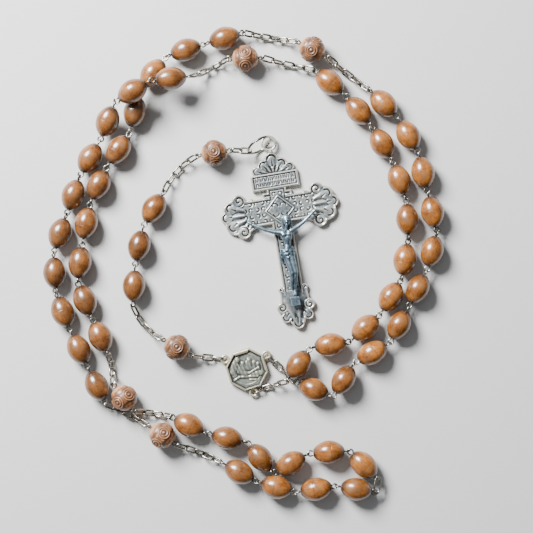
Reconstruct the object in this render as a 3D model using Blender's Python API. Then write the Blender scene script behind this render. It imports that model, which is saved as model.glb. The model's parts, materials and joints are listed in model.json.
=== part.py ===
"""A five-decade rosary laid on a table: a doubled band of beads, with the pendant inside it.

Frame: origin at the centre of the medal's flat back, +X right, +Y away, +Z up, metres.
A strand is a walk: each bead's pin goes one pitch along its heading, from hook to hook.
Strands start at places given in pitches, so the layout keeps its shape when a bead grows.
"""

import math

import bmesh
import bpy
from mathutils import Matrix, Vector

MM = 0.001

AVE_LENGTH = 9.4 * MM
AVE_DIAMETER = 7.0 * MM
PATER_DIAMETER = 7.9 * MM
PIN_WIRE = 0.5 * MM
EYE_RADIUS = 1.6 * PIN_WIRE  # to the middle of the wire
NECK = 0.15 * MM  # bead end to the eye's ring
LINK_WIRE = 0.56 * MM
LINK_WIDTH = 2.4 * MM
HOOK_GAP = 0.28 * MM  # between two wires hooked into each other
BORE_GAP = 0.3 * MM  # between a pin and its bore
ROW_SPREAD = 1.72  # pitches a row needs for each bead diameter

MEDAL_ACROSS = 12.9 * MM  # corner to corner
MEDAL_THICKNESS = 2.2 * MM
RIM_WIDTH = 0.8 * MM
FACE_DEPTH = 0.7 * MM
LUG_RADIUS = 1.05 * MM
LUG_WIRE = 0.75 * MM
LUG_ANGLES = {"pendant": 156, "outer": 36, "inner": -74}

RING_DIAMETER = 7.6 * MM  # to the middle of the wire
RING_WIRE = 0.75 * MM
RING_LEAN = 70  # degrees from lying flat
RING_HEADING = 33  # degrees, from the chain to the cross
LOOP_TURN = -45  # degrees round the ring, where it passes through the cross's loop

CROSS_HEIGHT = 53.5 * MM  # palmette to foot, without the hanging loop
CROSS_SPAN = 35.8 * MM
CROSS_THICKNESS = 2.0 * MM
LOOP_RADIUS = 2.05 * MM  # the cross's flat hanging loop, to the middle of its wire
LOOP_WIRE = 0.75 * MM
LOOP_HEIGHT = 1.45 * MM  # its middle, up from the cross's back
LOOP_NECK = 0.7 * MM  # from the middle of its wire to the palmette's top
LOOP_PLACE = (0.537, 5.595)  # its hole, in pitches
SHAFT_WIDTH = 6.0 * MM
BAR_HEIGHT = 8.0 * MM
TITLE_WIDTH = 14.3 * MM
TITLE_TOP = 6.1 * MM  # down from the palmette's top, as are the next two
TITLE_BOTTOM = 11.0 * MM
CROSSING = 17.3 * MM
NOTCH = 1.5 * MM
FLARE_HEIGHT = 13.3 * MM
FLARE_LENGTH = 8.0 * MM
FOOT_HEIGHT = 13.1 * MM
FOOT_WIDTH = 11.5 * MM
CORPUS_HEIGHT = 23.8 * MM
CORPUS_SPAN = 18.6 * MM
CORPUS_GAP = 0.3 * MM
CROSS_HEADING = -80.4  # degrees, from the palmette to the foot

STAND_OFF = EYE_RADIUS + NECK
EYE_HOOK = PIN_WIRE + HOOK_GAP  # between the wires of two hooked eyes
AVE_PITCH = max(AVE_LENGTH + 2 * STAND_OFF + EYE_HOOK, ROW_SPREAD * AVE_DIAMETER)
PATER_PITCH = PATER_DIAMETER + 2 * STAND_OFF + EYE_HOOK
AVE_Z = AVE_DIAMETER / 2
PATER_Z = PATER_DIAMETER / 2
CHAIN_Z = 1.25 * MM  # middle of a chain that sags onto the table
CHAIN_BOW = 1.4 * MM  # how far the pendant's chains swing aside from a straight line

# Headings in degrees, one for each Ave bead, from the strand's first hook. Reach lists how much
# longer or shorter than one pitch some pins are.
RIGHT_OUTER = dict(start=(1.18, -0.29), headings=(-22, 57, 29, 63, 63, 75, 104, 103, 120, 136))
RIGHT_INNER = dict(start=(1.65, 7.40), headings=(-39, -50, -59, -70, -87, -100, -121, -138, -171, -125))
LEFT_INNER = dict(start=(-0.07, 8.31), headings=(-164, -162, -128, -103, -124, -115, -101, -97, -68, -66),
                  reach={2: 0.846 * MM, 3: 0.846 * MM, 7: -0.362 * MM, 8: -0.362 * MM, 9: -0.362 * MM})
LEFT_OUTER = dict(start=(-3.48, -0.84), headings=(116, 116, 111, 93, 71, 71, 60, 66, 30, 8))
BOTTOM_OUT = dict(start=(-1.88, -1.15), headings=(-25, -12, -50, 29, 4, -44))
BOTTOM_BACK = dict(start=(3.19, -3.02), headings=(171, -171, 165, 151))
PENDANT = dict(start=(-2.81, 1.57), headings=(87, 78, 59))
# Lift of each hook where a strand passes over its neighbour, or under it.
CROSSING_RISE = (*[0] * 8, 0.586 * AVE_DIAMETER, 0.914 * AVE_DIAMETER, 0.4 * AVE_DIAMETER)
INNER_RISE = (0, 0, 0, 0, 0, 0, 0, 0, 0, 0, 1.3 * MM)
OUTER_DIP = (-1.2 * MM, 1.3 * MM)

# Pater beads: middle in pitches, heading in degrees.
PATERS = {
    "pendant_lower": ((-1.72, 0.55), 150),
    "pendant_upper": ((-0.80, 5.34), 9),
    "top_outer": ((1.61, 7.89), 153),
    "top_inner": ((-0.04, 7.67), 2),
    "left_upper": ((-3.02, -0.69), -52),
    "left_lower": ((-2.08, -1.61), 146),
}

# Each loop Pater: the hooks that its chains run from and to, and the links in each chain.
LOOP_PATERS = {
    "top_outer": (("right_outer", -1), ("left_inner", 0), (5, 6)),
    "top_inner": (("left_outer", -1), ("right_inner", 0), (5, 5)),
    "left_upper": (("left_inner", -1), ("bottom_out", 0), (4, 4)),
    "left_lower": (("bottom_back", -1), ("left_outer", 0), (5, 5)),
}
LINK_SWELL = 0.75 * MM  # radius that stands for a link in a joined chain

# Rows of Ave beads that are one piece each, by the hooks where they end.
ROWS = {
    "right_outer": (0, 5, 10),
    "right_inner": (0, 5, 10),
    "left_inner": (0, 2, 4, 6, 8, 10),
    "left_outer": (0, 1, 3, 5, 7, 10),
    "bottom_out": (0, 2, 4, 5),
    "bottom_back": (1, 2, 4),
}

# Turn of each separate link and pin eye about its own length, in degrees.
LINK_ROLLS = {
    "medal_links": (65, -25, 65),
    "lower_links": (-45, 45, -45, 45),
    "upper_links": (-45, 45, -45, 45, -45),
    "ring_links": (-60, 22),
}
PATER_PIN_ROLLS = {"pendant_lower": (25, 45), "pendant_upper": (-45, 30)}
AVE_PIN_ROLLS = ((45, 90), (0, 90), (0, 45))


def unit(heading):
    return Vector((math.cos(math.radians(heading)), math.sin(math.radians(heading)), 0))


def place(pitches, height):
    return Vector((pitches[0] * AVE_PITCH, pitches[1] * AVE_PITCH, height))


def walk(strand, rise=None):
    """The hooks of a strand of Ave beads, from its start."""
    hooks = [place(strand["start"], AVE_Z)]
    for i, heading in enumerate(strand["headings"]):
        hooks.append(hooks[-1] + unit(heading) * (AVE_PITCH + strand.get("reach", {}).get(i, 0)))
    for hook, lift in zip(hooks, rise or ()):
        hook.z += lift
    return hooks


def pater_hooks(name):
    middle, heading = PATERS[name]
    reach = unit(heading) * PATER_PITCH / 2
    return [place(middle, PATER_Z) - reach, place(middle, PATER_Z) + reach]


def chain(start, end, links, middle=CHAIN_Z, bow=0):
    """Hooks along a stretch of chain that sags to the table, or swings aside by bow."""
    aside = (end - start).cross(Vector((0, 0, 1))).normalized() * bow
    sag = middle - (start.z + end.z) / 2
    hooks = []
    for i in range(links + 1):
        t = i / links
        swell = 4 * t * (1 - t)
        hooks.append(start.lerp(end, t) + swell * (aside + Vector((0, 0, sag))))
    return hooks


def overlap(wire, other):
    """Distance between the middles of two wires hooked into each other."""
    return (wire + other) / 2 + HOOK_GAP


def side_of(along, roll):
    """The direction across a wire loop that is turned by roll about its own length."""
    level = along.cross(Vector((0, 0, 1))).normalized()
    return level * math.cos(math.radians(roll)) + level.cross(along) * math.sin(math.radians(roll))


def eye(hook, outward, roll, other=PIN_WIRE, radius=EYE_RADIUS):
    """An open wire eye at a hook, from its free end to its neck on the pin's line."""
    centre = hook + outward * (overlap(PIN_WIRE, other) / 2 - radius)
    side = side_of(outward, roll)
    points = []
    for turn in (58, 104, 150, 196, 242, 290):
        angle = math.radians(turn)
        points.append(centre + radius * (side * math.sin(angle) - outward * math.cos(angle)))
    return points + [centre - outward * radius * 1.05]


def material(name, colour, roughness, metallic):
    made = bpy.data.materials.get(name) or bpy.data.materials.new(name)
    made.use_nodes = True
    shader = made.node_tree.nodes["Principled BSDF"]
    shader.inputs["Base Color"].default_value = (*colour, 1)
    shader.inputs["Roughness"].default_value = roughness
    shader.inputs["Metallic"].default_value = metallic
    return made


WOOD = ("wood", (0.30, 0.13, 0.05), 0.35, 0)
STEEL = ("oxidised_wire", (0.42, 0.40, 0.36), 0.35, 1)
PEWTER = ("worn_pewter", (0.36, 0.35, 0.32), 0.45, 1)
DARK = ("dark_steel", (0.10, 0.12, 0.16), 0.35, 1)


def add(name, data, finish, origin=None):
    thing = bpy.data.objects.new(name, data)
    data.materials.append(material(*finish))
    bpy.context.scene.collection.objects.link(thing)
    if origin is not None:
        thing.location = origin
    return thing


def helper(name, data, origin):
    """A hidden shape that a Boolean uses."""
    thing = bpy.data.objects.new(name, data)
    bpy.context.scene.collection.objects.link(thing)
    thing.location = origin
    thing.hide_render = True
    thing.display_type = "WIRE"
    return thing


def join_to(thing, shapes):
    for shape in shapes:
        union = thing.modifiers.new("union", "BOOLEAN")
        union.operation = "UNION"
        union.object = shape


def tube(name, points, thickness, finish, radii=None, cyclic=False, detail=1):
    """A wire along points. A radius in radii swells it there, as a bead does."""
    data = bpy.data.curves.new(name, "CURVE")
    data.dimensions = "3D"
    data.bevel_depth = thickness / 2
    data.bevel_resolution = detail
    data.use_fill_caps = not cyclic
    spline = data.splines.new("POLY")
    spline.points.add(len(points) - 1)
    spline.use_cyclic_u = cyclic
    origin = points[0].copy()
    for i, (point, place_on) in enumerate(zip(spline.points, points)):
        point.co = (*(place_on - origin), 1)
        point.radius = radii[i] / (thickness / 2) if radii else 1
    return add(name, data, finish, origin)


def link(name, start, end, roll, others=(LINK_WIRE, LINK_WIRE)):
    """An oval wire link from hook to hook. others are the wires it hooks into."""
    along = (end - start).normalized()
    side = side_of(along, roll)
    bend = (LINK_WIDTH - LINK_WIRE) / 2
    first = start - along * (overlap(LINK_WIRE, others[0]) / 2 - bend)
    last = end + along * (overlap(LINK_WIRE, others[1]) / 2 - bend)
    points = []
    for centre, turns in ((last, range(-90, 91, 36)), (first, range(90, 271, 36))):
        for turn in turns:
            angle = math.radians(turn)
            points.append(centre + bend * (along * math.cos(angle) + side * math.sin(angle)))
    return tube(name, points, LINK_WIRE, STEEL, cyclic=True)


# A bead's outline from end to end: share of half its length, share of its full radius.
BEAD_OUTLINE = ((-0.98, 0.27), (-0.76, 0.67), (-0.30, 0.96), (0.30, 0.96), (0.76, 0.67), (0.98, 0.27))


def bead_on(start, end, length, diameter):
    """Points and radii of a bead in the middle of its pin."""
    middle, along = (start + end) / 2, (end - start).normalized()
    places = [middle + along * share * length / 2 for share, _ in BEAD_OUTLINE]
    return places, [swell * diameter / 2 for _, swell in BEAD_OUTLINE]


def aves(name, hooks, bare=()):
    """A row of Ave beads on their pins as one piece, with an open eye at each end."""
    points = eye(hooks[0], (hooks[0] - hooks[1]).normalized(), 0)
    radii = [PIN_WIRE / 2] * len(points)
    for i in range(len(hooks) - 1):
        if i > 0:
            points.append(hooks[i])
            radii.append(PIN_WIRE)
        if i not in bare:
            places, swells = bead_on(hooks[i], hooks[i + 1], AVE_LENGTH, AVE_DIAMETER)
            points += places
            radii += swells
    last = eye(hooks[-1], (hooks[-1] - hooks[-2]).normalized(), 90)[::-1]
    return tube(name, points + last, PIN_WIRE, WOOD, radii + [PIN_WIRE / 2] * len(last), detail=2)


def pin(name, hooks, rolls, others=(LINK_WIRE, LINK_WIRE)):
    """A bead's wire pin, with an open eye at each end."""
    outward = (hooks[1] - hooks[0]).normalized()
    points = eye(hooks[0], -outward, rolls[0], others[0])
    points += eye(hooks[1], outward, rolls[1], others[1])[::-1]
    return tube(name, points, PIN_WIRE, STEEL)


def chained(name, stretches, rolls, first_eye=(PIN_WIRE, EYE_RADIUS)):
    """Chain stretches joined by a Pater's pin as one piece: each link is a swell of the wire."""
    first, last = stretches[0], stretches[-1]
    points = eye(first[0], (first[0] - first[1]).normalized(), rolls[0], *first_eye)
    radii = [PIN_WIRE / 2] * len(points)
    for hooks in stretches:
        if hooks is not first:
            points.append(hooks[0])
            radii.append(PIN_WIRE / 2)
        for i, (start, end) in enumerate(zip(hooks, hooks[1:])):
            at_eyes = (hooks is first and i == 0, hooks is last and i == len(hooks) - 2)
            swells = [start.lerp(end, share) for share, at_eye in zip((0.28, 0.72), at_eyes) if not at_eye]
            points += swells + [end]
            radii += [LINK_SWELL] * len(swells) + [PIN_WIRE / 2]
    far = eye(last[-1], (last[-1] - last[-2]).normalized(), rolls[1])[::-1]
    return tube(name, points[:-1] + far, PIN_WIRE, STEEL, radii[:-1] + [PIN_WIRE / 2] * len(far))


def spun(points, steps, closed):
    """A turned shape about Z from points of (radius, height)."""
    shape = bmesh.new()
    verts = [shape.verts.new((radius, 0, height)) for radius, height in points]
    last = len(verts) if closed else len(verts) - 1
    edges = [shape.edges.new((verts[i], verts[(i + 1) % len(verts)])) for i in range(last)]
    bmesh.ops.spin(shape, geom=verts + edges, cent=(0, 0, 0), axis=(0, 0, 1), dvec=(0, 0, 0),
                   angle=math.tau, steps=steps, use_merge=True)
    bmesh.ops.recalc_face_normals(shape, faces=shape.faces)
    return shape


def mesh_from(name, shape):
    data = bpy.data.meshes.new(name)
    shape.to_mesh(data)
    shape.free()
    data.shade_smooth()
    data.set_sharp_from_angle(angle=math.radians(40))
    return data


def ring_mesh(name, radius, wire, turn=None):
    circle = [math.tau * (i + 0.5) / 8 for i in range(8)]
    section = [(radius + wire / 2 * math.cos(a), wire / 2 * math.sin(a)) for a in circle]
    shape = spun(section, 14, closed=True)
    if turn:
        bmesh.ops.rotate(shape, verts=shape.verts, matrix=turn)
    return mesh_from(name, shape)


def wood(name, hooks, length, diameter):
    """A bead with a through bore, lying on its pin's line."""
    bore = PIN_WIRE / 2 + BORE_GAP
    outline = [(bore, -length / 2)]
    outline += [(swell * diameter / 2, share * length / 2) for share, swell in BEAD_OUTLINE]
    outline.append((bore, length / 2))
    bead = add(name, mesh_from(name, spun(outline, 10, closed=True)), WOOD, (hooks[0] + hooks[1]) / 2)
    bead.rotation_euler = (hooks[1] - hooks[0]).to_track_quat("Z", "Y").to_euler()
    return bead


def lug_centre(name):
    edge = MEDAL_ACROSS / 2 * math.cos(math.pi / 8)
    centre = unit(LUG_ANGLES[name]) * (edge + LUG_RADIUS + LUG_WIRE * 0.25)
    centre.z = MEDAL_THICKNESS / 2
    return centre


def lug_hook(name, target):
    """Where a chain that leaves towards target hooks into a lug of the medal."""
    centre = lug_centre(name)
    pull = target - centre
    pull.z = 0
    return centre + pull.normalized() * (LUG_RADIUS - overlap(LUG_WIRE, LINK_WIRE) / 2)


def centre_medal():
    shape = bmesh.new()
    angles = [math.radians(85 - 45 * i) for i in range(8)]
    reach = MEDAL_ACROSS / 2
    corners = [shape.verts.new((reach * math.cos(a), reach * math.sin(a), 0)) for a in angles]
    base = shape.faces.new(corners)
    raised = bmesh.ops.extrude_face_region(shape, geom=[base])["geom"]
    face = next(part for part in raised if isinstance(part, bmesh.types.BMFace))
    bmesh.ops.translate(shape, verts=face.verts, vec=(0, 0, MEDAL_THICKNESS))
    bmesh.ops.inset_region(shape, faces=[face], thickness=RIM_WIDTH)
    bmesh.ops.translate(shape, verts=face.verts, vec=(0, 0, -FACE_DEPTH))
    bmesh.ops.recalc_face_normals(shape, faces=shape.faces)
    plate = add("centre_medal", mesh_from("centre_medal", shape), PEWTER)
    lug = ring_mesh("lug", LUG_RADIUS, LUG_WIRE)
    join_to(plate, [helper(f"lug_{name}", lug, lug_centre(name)) for name in LUG_ANGLES])


def cross_outline():
    """Half the cross's outline, palmette to foot, as (across, down)."""
    title, arm, flare = TITLE_WIDTH / 2, CROSS_SPAN / 2, FLARE_HEIGHT / 2
    neck, bar, foot = SHAFT_WIDTH / 2, BAR_HEIGHT / 2, FOOT_WIDTH / 2
    palmette = [(0.22, 0.07), (0.42, 0.26), (0.50, 0.48), (0.74, 0.69), (0.90, 1)]
    half = [(0, -LOOP_NECK), (LOOP_WIRE * 0.8, -LOOP_NECK), (LOOP_WIRE, 0)]
    half += [(x * title, y * TITLE_TOP) for x, y in palmette]
    half += [(title, TITLE_TOP), (title, TITLE_BOTTOM), (neck, TITLE_BOTTOM)]
    half += [(neck, CROSSING - bar - NOTCH), (neck + NOTCH, CROSSING - bar - NOTCH)]
    half.append((neck + NOTCH, CROSSING - bar))
    root = arm - FLARE_LENGTH
    lobes = [(0, bar), (0.20, flare * 0.78), (0.34, flare), (0.62, flare * 0.88), (0.74, flare * 0.60)]
    lobes += [(0.92, flare * 0.42), (1, flare * 0.14)]
    half += [(root + x * FLARE_LENGTH, CROSSING - y) for x, y in lobes]
    half += [(root + x * FLARE_LENGTH, CROSSING + y) for x, y in lobes[::-1]]
    half += [(neck, CROSSING + bar)]
    scroll = [(neck, 0), (foot * 0.72, 0.05), (foot, 0.28), (foot * 0.96, 0.46), (foot * 0.72, 0.62)]
    scroll += [(foot * 0.46, 0.78), (foot * 0.2, 0.93), (0, 1)]
    top = CROSS_HEIGHT - FOOT_HEIGHT
    return half + [(x, top + y * FOOT_HEIGHT) for x, y in scroll]


def cross_frame():
    """Where the cross lies: its hanging loop's hole is the origin, its foot towards -Y."""
    turn = Matrix.Rotation(math.radians(CROSS_HEADING + 90), 4, "Z")
    return Matrix.Translation(place(LOOP_PLACE, LOOP_HEIGHT)) @ turn


def crucifix_cross():
    half = cross_outline()
    drop = LOOP_RADIUS + LOOP_NECK
    outline = half[:-1] + [(-x, y) for x, y in half[:0:-1]]
    shape = bmesh.new()
    face = shape.faces.new([shape.verts.new((x, -y - drop, -LOOP_HEIGHT)) for x, y in outline])
    raised = bmesh.ops.extrude_face_region(shape, geom=[face])["geom"]
    tops = [part for part in raised if isinstance(part, bmesh.types.BMVert)]
    bmesh.ops.translate(shape, verts=tops, vec=(0, 0, CROSS_THICKNESS))
    bmesh.ops.triangulate(shape, faces=[f for f in shape.faces if len(f.verts) > 4])
    bmesh.ops.recalc_face_normals(shape, faces=shape.faces)
    cross = add("cross", mesh_from("cross", shape), PEWTER)
    cross.matrix_world = cross_frame()
    loop = ring_mesh("hanging_loop", LOOP_RADIUS, LOOP_WIRE)
    hanging = helper("hanging_loop", loop, (0, 0, 0))
    hanging.matrix_world = cross_frame()
    join_to(cross, [hanging])


CORPUS_BODY = ((0.00, 0.030), (0.05, 0.055), (0.10, 0.032), (0.155, 0.05), (0.25, 0.070), (0.37, 0.052),
               (0.46, 0.068), (0.57, 0.058), (0.69, 0.045), (0.81, 0.038), (0.90, 0.026), (1.0, 0.022))
CORPUS_ARM = ((0, 0.155, 0.040), (0.17, 0.155, 0.045), (0.53, 0.075, 0.034), (0.88, -0.005, 0.026),
              (1.0, -0.04, 0.030))


def solid_tube(name, points, radii):
    """A closed mesh of a swelling tube, for a Boolean."""
    drawn = tube(name, points, MM, DARK, radii, detail=2)
    drawn.location = (0, 0, 0)
    graph = bpy.context.evaluated_depsgraph_get()
    shape = bmesh.new()
    shape.from_mesh(bpy.data.meshes.new_from_object(drawn.evaluated_get(graph)))
    bmesh.ops.remove_doubles(shape, verts=shape.verts, dist=MM * 0.001)
    bmesh.ops.translate(shape, verts=shape.verts, vec=points[0])
    bmesh.ops.recalc_face_normals(shape, faces=shape.faces)
    bpy.data.objects.remove(drawn)
    return mesh_from(name, shape)


def corpus():
    """The figure, a little above the cross's face, in the cross's frame."""
    face = CROSS_THICKNESS - LOOP_HEIGHT + CORPUS_GAP
    head = LOOP_RADIUS + LOOP_NECK + CROSSING + MM * 2.1
    body = [Vector((0, -head - down * CORPUS_HEIGHT, face + swell * CORPUS_HEIGHT)) for down, swell in CORPUS_BODY]
    body_radii = [swell * CORPUS_HEIGHT for _, swell in CORPUS_BODY]
    arm = []
    for across, down, swell in CORPUS_ARM:
        arm.append((across * CORPUS_SPAN / 2, -head - down * CORPUS_HEIGHT, face + 0.05 * CORPUS_HEIGHT))
    arms = [Vector((-x, y, z)) for x, y, z in arm[:0:-1]] + [Vector(point) for point in arm]
    radii = [swell * CORPUS_HEIGHT * 0.9 for _, _, swell in CORPUS_ARM[:0:-1] + CORPUS_ARM]
    figure = add("corpus", solid_tube("corpus", body, body_radii), DARK)
    figure.matrix_world = cross_frame()
    spread = helper("corpus_arms", solid_tube("corpus_arms", arms, radii), (0, 0, 0))
    spread.matrix_world = cross_frame()
    join_to(figure, [spread])


def ring_point(turn):
    """A point of the leaning jump ring, which passes through the cross's loop at LOOP_TURN."""
    def on_circle(angle):
        lean = math.radians(RING_LEAN)
        high = unit(RING_HEADING + 90) * math.cos(lean) + Vector((0, 0, math.sin(lean)))
        a = math.radians(angle)
        return (unit(RING_HEADING) * math.cos(a) + high * math.sin(a)) * RING_DIAMETER / 2
    return cross_frame().translation - on_circle(LOOP_TURN) + on_circle(turn)


def ring_hook():
    """Where the last chain link hooks into the ring, at its far side."""
    inward = (ring_point(0) - ring_point(180)).normalized()
    return ring_point(180) + inward * overlap(RING_WIRE, LINK_WIRE) * 0.56


def jump_ring():
    points = [ring_point(LOOP_TURN + 20 * i) for i in range(18)]
    tube("crucifix_ring", points, RING_WIRE, STEEL, cyclic=True)


def strands():
    """Every hook of the rosary, by strand."""
    hooks = {
        "right_outer": walk(RIGHT_OUTER, OUTER_DIP),
        "right_inner": walk(RIGHT_INNER, INNER_RISE),
        "left_inner": walk(LEFT_INNER),
        "left_outer": walk(LEFT_OUTER, CROSSING_RISE),
        "bottom_out": walk(BOTTOM_OUT),
        "bottom_back": walk(BOTTOM_BACK),
        "pendant": walk(PENDANT),
    }
    for name in PATERS:
        hooks[name] = pater_hooks(name)
    outer, inner = hooks["right_outer"][0], hooks["right_inner"][-1]
    lower, upper = hooks["pendant_lower"], hooks["pendant_upper"]
    hooks["medal_outer_chain"] = chain(lug_hook("outer", outer), outer, 4)
    hooks["medal_inner_chain"] = chain(lug_hook("inner", inner), inner, 4)
    hooks["medal_links"] = chain(lug_hook("pendant", lower[0]), lower[0], 3)
    hooks["lower_links"] = chain(lower[1], hooks["pendant"][0], 4, bow=-CHAIN_BOW)
    hooks["upper_links"] = chain(hooks["pendant"][-1], upper[0], 5, bow=-CHAIN_BOW)
    hooks["ring_links"] = chain(upper[1], ring_hook(), 2, middle=(upper[1].z + ring_hook().z) / 2)
    return hooks


def pendant_chain(hooks):
    """The separate links, pins and beads from the medal to the cross, in their order."""
    count = 0
    for stretch in ("medal_links", "lower_links", "upper_links", "ring_links"):
        points = hooks[stretch]
        for i in range(len(points) - 1):
            count += 1
            others = [LINK_WIRE, LINK_WIRE]
            if i == 0:
                others[0] = LUG_WIRE if stretch == "medal_links" else PIN_WIRE
            if i == len(points) - 2:
                others[1] = RING_WIRE if stretch == "ring_links" else PIN_WIRE
            link(f"pendant_link_{count:02d}", points[i], points[i + 1], LINK_ROLLS[stretch][i], others)
    for name, rolls in PATER_PIN_ROLLS.items():
        wood(f"{name}_pater", hooks[name], PATER_DIAMETER, PATER_DIAMETER)
        pin(f"{name}_pater_pin", hooks[name], rolls)
    beads = hooks["pendant"]
    for i in range(3):
        wood(f"pendant_ave_{i + 1}", beads[i:i + 2], AVE_LENGTH, AVE_DIAMETER)
        others = (LINK_WIRE if i == 0 else PIN_WIRE, LINK_WIRE if i == 2 else PIN_WIRE)
        pin(f"pendant_ave_pin_{i + 1}", beads[i:i + 2], AVE_PIN_ROLLS[i], others)


def loop(hooks):
    """The five decades, as rows of beads that fold where their joints are."""
    for strand, cuts in ROWS.items():
        for i, (first, last) in enumerate(zip(cuts, cuts[1:])):
            aves(f"{strand}_aves_{i + 1}", hooks[strand][first:last + 1])
    turn = hooks["bottom_out"][5:7] + hooks["bottom_back"][0:2]
    aves("bottom_turn_aves", turn, bare=(1,))
    for name, (before, after, links) in LOOP_PATERS.items():
        start, end = hooks[name]
        into = chain(hooks[before[0]][before[1]], start, links[0])
        away = chain(end, hooks[after[0]][after[1]], links[1])
        wood(f"{name}_pater", hooks[name], PATER_DIAMETER, PATER_DIAMETER)
        chained(f"{name}_chain", (into, away), (0, 90))
    for name, rolls in (("medal_outer_chain", (90, 90)), ("medal_inner_chain", (90, 0))):
        chained(name, (hooks[name],), rolls, (LUG_WIRE, (LINK_WIDTH - LINK_WIRE) / 2))


def main():
    for thing in list(bpy.data.objects):
        bpy.data.objects.remove(thing, do_unlink=True)
    hooks = strands()
    centre_medal()
    loop(hooks)
    pendant_chain(hooks)
    jump_ring()
    crucifix_cross()
    corpus()
    bpy.context.view_layer.update()


if __name__ == "__main__":
    main()
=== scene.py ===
import json
import math
import random

import bmesh
import bpy
import numpy as np
from mathutils import Matrix, Vector


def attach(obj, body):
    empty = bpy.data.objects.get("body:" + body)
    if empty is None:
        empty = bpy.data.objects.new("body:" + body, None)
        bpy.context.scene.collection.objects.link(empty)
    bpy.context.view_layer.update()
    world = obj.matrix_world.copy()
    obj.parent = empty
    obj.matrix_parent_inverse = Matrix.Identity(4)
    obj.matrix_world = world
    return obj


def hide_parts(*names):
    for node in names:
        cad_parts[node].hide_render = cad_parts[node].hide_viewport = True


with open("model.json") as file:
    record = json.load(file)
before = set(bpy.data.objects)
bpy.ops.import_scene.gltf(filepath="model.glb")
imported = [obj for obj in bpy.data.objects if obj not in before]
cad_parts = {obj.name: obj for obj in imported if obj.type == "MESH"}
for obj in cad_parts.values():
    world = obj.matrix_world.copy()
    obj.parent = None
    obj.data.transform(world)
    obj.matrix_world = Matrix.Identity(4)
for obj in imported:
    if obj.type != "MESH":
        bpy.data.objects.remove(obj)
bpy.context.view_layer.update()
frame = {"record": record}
bodies = frame["record"]["behaviour"]["bodies"]
mm = 0.001

# short forms for building node trees
def put(tree, kind, inputs=None, **settings):
    node = tree.nodes.new(kind)
    for name, value in settings.items():
        setattr(node, name, value)
    for key, value in (inputs or {}).items():
        if isinstance(value, bpy.types.NodeSocket):
            tree.links.new(value, node.inputs[key])
        else:
            node.inputs[key].default_value = value
    return node


def calc(tree, operation, *values):
    kind = "ShaderNodeMath"
    return put(tree, kind, dict(enumerate(values)), operation=operation).outputs[0]


def vecCalc(tree, operation, *values):
    node = put(tree, "ShaderNodeVectorMath", dict(enumerate(values)), operation=operation)
    return node.outputs["Value" if operation in ("LENGTH", "DISTANCE", "DOT_PRODUCT") else 0]


def newTree(name, inputs):
    # inputs is {label: (socket kind, default)}
    tree = bpy.data.node_groups.new(name, "GeometryNodeTree")
    face = tree.interface
    face.new_socket("Geometry", in_out="INPUT", socket_type="NodeSocketGeometry")
    for label, (kind, value) in inputs.items():
        socket = face.new_socket(label, in_out="INPUT", socket_type="NodeSocket" + kind)
        if value is not None:
            socket.default_value = value
    face.new_socket("Geometry", in_out="OUTPUT", socket_type="NodeSocketGeometry")
    source = tree.nodes.new("NodeGroupInput")
    sink = tree.nodes.new("NodeGroupOutput")
    return tree, source.outputs, sink.inputs[0]


def spread(tree, source, shape, seed, sizeSpread):
    # shape on every point of source, turned by the point's own turn, with a tone for each
    turn = put(tree, "GeometryNodeInputNamedAttribute", {0: "turn"}, data_type="QUATERNION").outputs[0]
    stretch = put(tree, "GeometryNodeInputNamedAttribute", {0: "stretch"},
                  data_type="FLOAT_VECTOR").outputs[0]
    vary = put(tree, "FunctionNodeRandomValue", {"Seed": seed}, data_type="FLOAT")
    low = calc(tree, "SUBTRACT", 1.0, sizeSpread)
    tree.links.new(low, vary.inputs[2])
    vary.inputs[3].default_value = 1.0
    size = vecCalc(tree, "SCALE", stretch, Vector())
    size.node.inputs["Scale"].default_value = 1
    tree.links.new(vary.outputs[1], size.node.inputs["Scale"])
    placed = put(tree, "GeometryNodeInstanceOnPoints",
                 {"Points": source, "Instance": shape, "Rotation": turn, "Scale": size}).outputs[0]
    tone = put(tree, "FunctionNodeRandomValue", {"Seed": seed}, data_type="FLOAT").outputs[1]
    toned = put(tree, "GeometryNodeStoreNamedAttribute", {"Geometry": placed, "Name": "tone", "Value": tone},
                data_type="FLOAT", domain="INSTANCE").outputs[0]
    return put(tree, "GeometryNodeRealizeInstances", {"Geometry": toned}).outputs[0]


def close(tree, shape, material, sink):
    smooth = put(tree, "GeometryNodeSetShadeSmooth", {"Geometry": shape}).outputs[0]
    painted = put(tree, "GeometryNodeSetMaterial", {"Geometry": smooth, "Material": material}).outputs[0]
    tree.links.new(painted, sink)


def grow(name, tree, places, values):
    # a plain mesh object from a tree that works on points, each (position, turn, stretch)
    mesh = bpy.data.meshes.new(name)
    mesh.from_pydata([place[0] for place in places], [], [])
    mesh.attributes.new("turn", "QUATERNION", "POINT")
    mesh.attributes.new("stretch", "FLOAT_VECTOR", "POINT")
    for i, (_, quaternion, scale) in enumerate(places):
        mesh.attributes["turn"].data[i].value = quaternion
        mesh.attributes["stretch"].data[i].vector = scale
    seedling = bpy.data.objects.new(name + ".points", mesh)
    bpy.context.scene.collection.objects.link(seedling)
    modifier = seedling.modifiers.new("grow", "NODES")
    modifier.node_group = tree
    sockets = {item.name: item.identifier for item in tree.interface.items_tree if item.in_out == "INPUT"}
    for label, value in values.items():
        modifier[sockets[label]] = value
    graph = bpy.context.evaluated_depsgraph_get()
    grown = bpy.data.meshes.new_from_object(seedling.evaluated_get(graph))
    grown.name = name
    bpy.data.objects.remove(seedling)
    piece = bpy.data.objects.new(name, grown)
    bpy.context.scene.collection.objects.link(piece)
    return piece


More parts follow.
